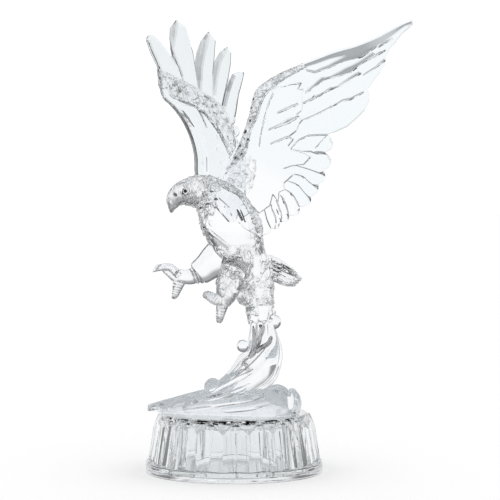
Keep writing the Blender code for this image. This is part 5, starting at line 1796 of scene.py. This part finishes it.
@dataclass(frozen=True)
class RightWing:
    """The wing on the far side, raised with its fingers apart."""

    sheet: WingSheet = WingSheet((-11.0, RIGHT_PLANE, 154.5), 30.0, -1.0, 30.0, 110.0)

    def fingers(self) -> list[Solid]:
        """Make the five long fingers, each with a wide bevel on its left.

        Each row of an outline is (u, v, bevel, share by which it is carved); a share below zero is
        painted shade on the bevel.

        Returns:
            The blanks.
        """
        outlines = (
            ((-41.3, 94.1, 2, -0.2), (-40.2, 96.2, 1.8), (-38, 97.6, 1.6), (-35.7, 97.4, 1.4),
             (-32.8, 94.7, 1.2), (-28.6, 89, 1.2), (-24.8, 83.3, 1.2, -0.2), (-21, 76.9, 1.2, -0.2),
             (-19, 64.7, 1), (-20, 50, 0.5), (-31, 52, 0.8), (-33.6, 64.4, 1.6, 0.4), (-35.9, 74.5, 2, -0.2),
             (-39.8, 86, 2.2, -0.2)),
            ((-22.1, 102.6, 4.8, -0.3), (-15.8, 108.5, 2.4, -0.25), (-10, 104, 1.4), (-9, 95, 1.4),
             (-8.1, 86.1, 1.4), (-8.3, 77.2, 1.2), (-8.5, 60.8, 0.8), (-10, 48, 0.6), (-20, 50, 0.6),
             (-20.4, 62, 3.4, -0.5), (-23.6, 76.8, 3.4, -0.5), (-23.9, 88, 1.4, -0.25),
             (-23.4, 97, 4.2, -0.35)),
            ((0.2, 95, 5.2, -0.3), (7.5, 101.2, 1.8, -0.25), (11, 94.9, 1.4), (7.6, 83.1, 1.4),
             (4.1, 71.3, 1.2), (2.2, 55.5, 0.8), (-2, 44, 0.6), (-10, 47, 0.5), (-10.8, 56, 3, -0.3),
             (-9.7, 67.6, 5, -0.4), (-8.7, 77.2, 6, -0.4), (-4.8, 86.9, 6, -0.35)),
            ((13.5, 87.4, 3.4, -0.3), (19.6, 90.8, 1.2, -0.2), (21.3, 86.9, 1.2), (19.7, 79.9, 1.2),
             (15.3, 68.1, 1), (8.5, 51.5, 0.6), (3, 40, 0.4), (-2, 44, 0.5), (1.4, 57.6, 2.6, -0.25),
             (4, 71.3, 4, -0.4), (7.9, 81, 4.2, -0.3)),
            ((20.2, 72.2, 2, -0.5), (25, 73.9, 1.4), (28.8, 73.5, 1.2), (26.7, 68.3, 1.2), (21.7, 57.9, 1),
             (17.6, 45.5, 0.6), (13, 34, 0.4), (6, 32, 0.6), (6.1, 40.6, 1, -0.2), (8.7, 50.2, 1.8, -0.5),
             (13.1, 60.5, 2, -0.7), (16.7, 67.4, 2, -0.7)),
        )
        return [plate(outline, 3.4, 0.28, 0.6 - 0.3 * index) for index, outline in enumerate(outlines)]

    def tufts(self) -> list[Solid]:
        """Make the short feathers behind the arm.

        Returns:
            The blanks.
        """
        tips = ((16.6, 42.6), (18.8, 34.4), (17.6, 26.0), (20.0, 17.0), (22.0, 7.0), (21.0, -4.0))
        return [Feather((u - 18.0, v - 6.0), (u, v)).solid() for u, v in tips]

    def carving(self) -> Solid:
        """Make the band of carved coverts between the arm and the fingers.

        Returns:
            The blank.
        """
        return band((
            (-36.6, 60, -36.8, 75, 5.2), (-29.6, 53, -25, 70, 5.6), (-22.3, 51.1, -16, 66, 5.6),
            (-12.9, 47.9, -6, 60.5, 5.6), (-6, 42.5, 3, 55, 5.6), (0.6, 33.8, 10, 48, 5.6),
            (5, 25.7, 14.5, 38, 5.4), (8, 19, 15.5, 27, 5), (9.8, 14, 13, 18.5, 4.6)),
            tuple((n / 8.0, 1.0 if 0 < n < 8 else 0.4) for n in range(9)), 0.6, 0.7, 6.0)

    def lines(self) -> list[Solid]:
        """Make the tools that cut strokes into the arm below the carving.

        Returns:
            The tools.
        """
        strokes = (
            # Each stroke is (rows, surface, least depth, share of painted shade)
            (((-24.2, 46.6, 0.3, 0.3), (-20.6, 41.4, 1, 0.6), (-16.8, 35.5, 0.3, 0.3)), 3.1, 0.8, 0.9),
            (((-12.5, 50.6, 0.3, 0.3), (-8.4, 41.8, 1, 0.5), (-6.2, 35.1, 0.3, 0.3)), 1.7, 0.4, 0.3),
        )
        return [tool for rows, surface, least, painted_shade in strokes for tool in groove(rows, surface, least, painted_shade)]

    def build(self) -> Solid:
        """Build the whole wing with the boss that seats on the body.

        Returns:
            The wing's object.
        """
        # The arm's front lip gets painted shade: its share is -0.75
        wing = arm_panel((
            (-28, 8, 16, 3.2, 2.8), (-16, -2, 20, 4, 3), (-6, -6, 21, 5.4, 3.2), (0.6, -12, 21, 6.6, 3.4),
            (3, -17, 20.8, 6.8, 3.4), (16.9, -17, 18.5, 7, 3.4), (29, -19.2, 16.5, 7, 3.4),
            (40.3, -23.8, 13, 7, 3.4), (49, -30.2, 4, 6.6, 3.4), (55, -36.1, -2, 6, 3.4),
            (62.3, -37.2, -8, 5.6, 3.4), (69.8, -35.2, -14, 5, 3.2)),
            -0.75, 0.15, 2.0)
        wing.name = "wing_right_cast"
        combine(wing, self.lines(), Cut.TAKE)
        combine(wing, self.fingers() + self.tufts() + [self.carving()], Cut.JOIN)
        self.sheet.bend(wing)
        combine(wing, [boss(-5.0, 138.0, 7.0, 9.0, WING_SEAT_DEPTH + GAP_PARTS, RIGHT_PLANE + 1.5)], Cut.JOIN)
        settle(wing, 8.0)
        return wing


def boss(x: float, z: float, half_length: float, half_height: float, start: float, end: float) -> Solid:
    """Make an oval boss that runs across the eagle.

    Args:
        x: Middle of the oval, in parts.
        z: Height of its middle.
        half_length: Half its length along X.
        half_height: Half its height.
        start: Y where the boss starts.
        end: Y where it ends.

    Returns:
        The boss's object.
    """
    angle = np.arange(40) * math.tau / 40
    rings = [np.stack([x + half_length * np.cos(angle), np.full(40, y), z + half_height * np.sin(angle)], -1)
             for y in (start, end)]
    return skin("boss", to_metres(np.array(rings)))


@dataclass(frozen=True)
class Studio:
    """White paper floor, a soft white surround with grey flags in it, and the camera."""

    floor_size: float = 14.0
    camera_place: tuple[float, float, float] = (0.0106, -1.4, 0.2079)
    camera_aim: tuple[float, float, float] = (0.0106, 0.0, 0.1479)
    focal_px: float = 2102.0
    image_px: float = 500.0
    sensor_mm: float = 36.0
    heights: tuple[tuple[float, float], ...] = (
        (0.0, 0.84), (0.12, 0.84), (0.27, 0.36), (0.45, 0.33), (0.6, 0.1), (0.85, 0.1), (0.93, 1.0))
    corner_edge: tuple[float, float] = (-0.75, -0.1)
    corner_grey: float = 0.22
    flag_strength: float = 1.2
    plain_strength: float = 1.1
    paper_gap: float = 0.0002

    def build_floor(self) -> None:
        """Lay the paper just under the base."""
        half = self.floor_size / 2
        mesh = bpy.data.meshes.new("paper_floor")
        mesh.from_pydata([(-half, -half, 0.0), (half, -half, 0.0), (half, half, 0.0), (-half, half, 0.0)], [],
                         [(0, 1, 2, 3)])
        mesh.transform(Matrix.Translation((0.0, 0.0, -self.paper_gap)))
        mesh.materials.append(StudioPaper().material())
        floor = bpy.data.objects.new("paper_floor", mesh)
        bpy.context.scene.collection.objects.link(floor)

    def build_surround(self) -> None:
        """Light the scene from all round: white low down and overhead, grey flags between them.

        The four corners are greyer too. The camera and the paper see plain white instead of the flags.
        """
        world = bpy.data.worlds.new("soft_surround")
        bpy.context.scene.world = world
        world.use_nodes = True
        tree = world.node_tree
        tree.nodes.clear()
        heading = add_node(tree, "ShaderNodeTexCoord").outputs["Generated"]
        axes = add_node(tree, "ShaderNodeSeparateXYZ", values={0: heading}).outputs
        azimuth = add_node(tree, "ShaderNodeMath", {"operation": "ARCTAN2"}, {0: axes["Y"], 1: axes["X"]})
        wave = add_node(tree, "ShaderNodeMath", {"operation": "MULTIPLY"}, {0: azimuth.outputs[0], 1: 4.0})
        sides = add_node(tree, "ShaderNodeMath", {"operation": "COSINE"}, {0: wave.outputs[0]})
        around = add_node(tree, "ShaderNodeMapRange", {"interpolation_type": "SMOOTHSTEP"}, {
            "Value": sides.outputs[0], "From Min": self.corner_edge[0], "From Max": self.corner_edge[1],
            "To Min": self.corner_grey, "To Max": 1.0})
        above = add_node(tree, "ShaderNodeValToRGB", values={"Fac": axes["Z"]})
        stops = above.color_ramp.elements
        for place, _ in self.heights[2:]:
            stops.new(place)
        for stop, (place, share) in zip(stops, self.heights):
            stop.position, stop.color = place, (share, share, share, 1.0)
        grey = add_node(tree, "ShaderNodeMath", {"operation": "MULTIPLY"}, {
            0: around.outputs[0], 1: above.outputs["Color"]})
        flags = add_node(tree, "ShaderNodeBackground", values={
            "Color": grey.outputs[0], "Strength": self.flag_strength})
        plain = add_node(tree, "ShaderNodeBackground", values={
            "Color": (1.0, 1.0, 1.0, 1.0), "Strength": self.plain_strength})
        path = add_node(tree, "ShaderNodeLightPath").outputs
        direct = add_node(tree, "ShaderNodeMath", {"operation": "MAXIMUM"}, {
            0: path["Is Camera Ray"], 1: path["Is Diffuse Ray"]})
        mixed = add_node(tree, "ShaderNodeMixShader", values={
            0: direct.outputs[0], 1: flags.outputs[0], 2: plain.outputs[0]})
        add_node(tree, "ShaderNodeOutputWorld", values={"Surface": mixed.outputs[0]})

    def build_camera(self) -> None:
        """Set the camera at the photograph's viewing angle."""
        lens = bpy.data.cameras.new("camera")
        lens.sensor_width = self.sensor_mm
        lens.lens = self.focal_px / self.image_px * self.sensor_mm
        camera = bpy.data.objects.new("camera", lens)
        bpy.context.scene.collection.objects.link(camera)
        camera.location = self.camera_place
        aim = Vector(self.camera_aim) - camera.location
        camera.rotation_euler = aim.to_track_quat("-Z", "Y").to_euler()
        bpy.context.scene.camera = camera

    def build(self) -> None:
        """Set up the studio."""
        self.build_floor()
        self.build_surround()
        self.build_camera()
        scene = bpy.context.scene
        scene.view_settings.view_transform = "Standard"
        scene.cycles.max_bounces = 24
        scene.cycles.transmission_bounces = 24
        scene.cycles.glossy_bounces = 8


def main() -> None:
    """Build the figurine and its studio."""
    logging.basicConfig(level=logging.INFO)
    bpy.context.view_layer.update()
    polished = MouldedAcrylic("polished_moulded_acrylic").material()
    thick = MouldedAcrylic("thick_moulded_acrylic", "#F3F5F6", has_glued_joints=True).material()
    solid = MouldedAcrylic(
        "solid_moulded_acrylic", "#F8FAFC", carved_painted_shade="#EBEDEF", has_glued_joints=True).material()
    tree = copies_on_a_ring("copies_on_a_ring")
    base, wave, body = PrismBase(), CurlingWave(), EagleBody()
    hand_over(base.build_plate(), solid, ["base_plate"])
    hand_over(base.build_shell(tree, thick), thick, ["base_shell"])
    hand_over(wave.build(tree, solid), solid, ["wave"])
    hand_over(body.build(), solid, ["eagle_body"])
    enamel = BlackEnamel().material()
    for side in (-1.0, 1.0):
        hand_over(body.build_eye(side), enamel, [])
    hand_over(LeftWing().build(), polished, ["wing_left"])
    hand_over(RightWing().build(), polished, ["wing_right"])
    Studio().build()


if __name__ == "__main__":
    main()
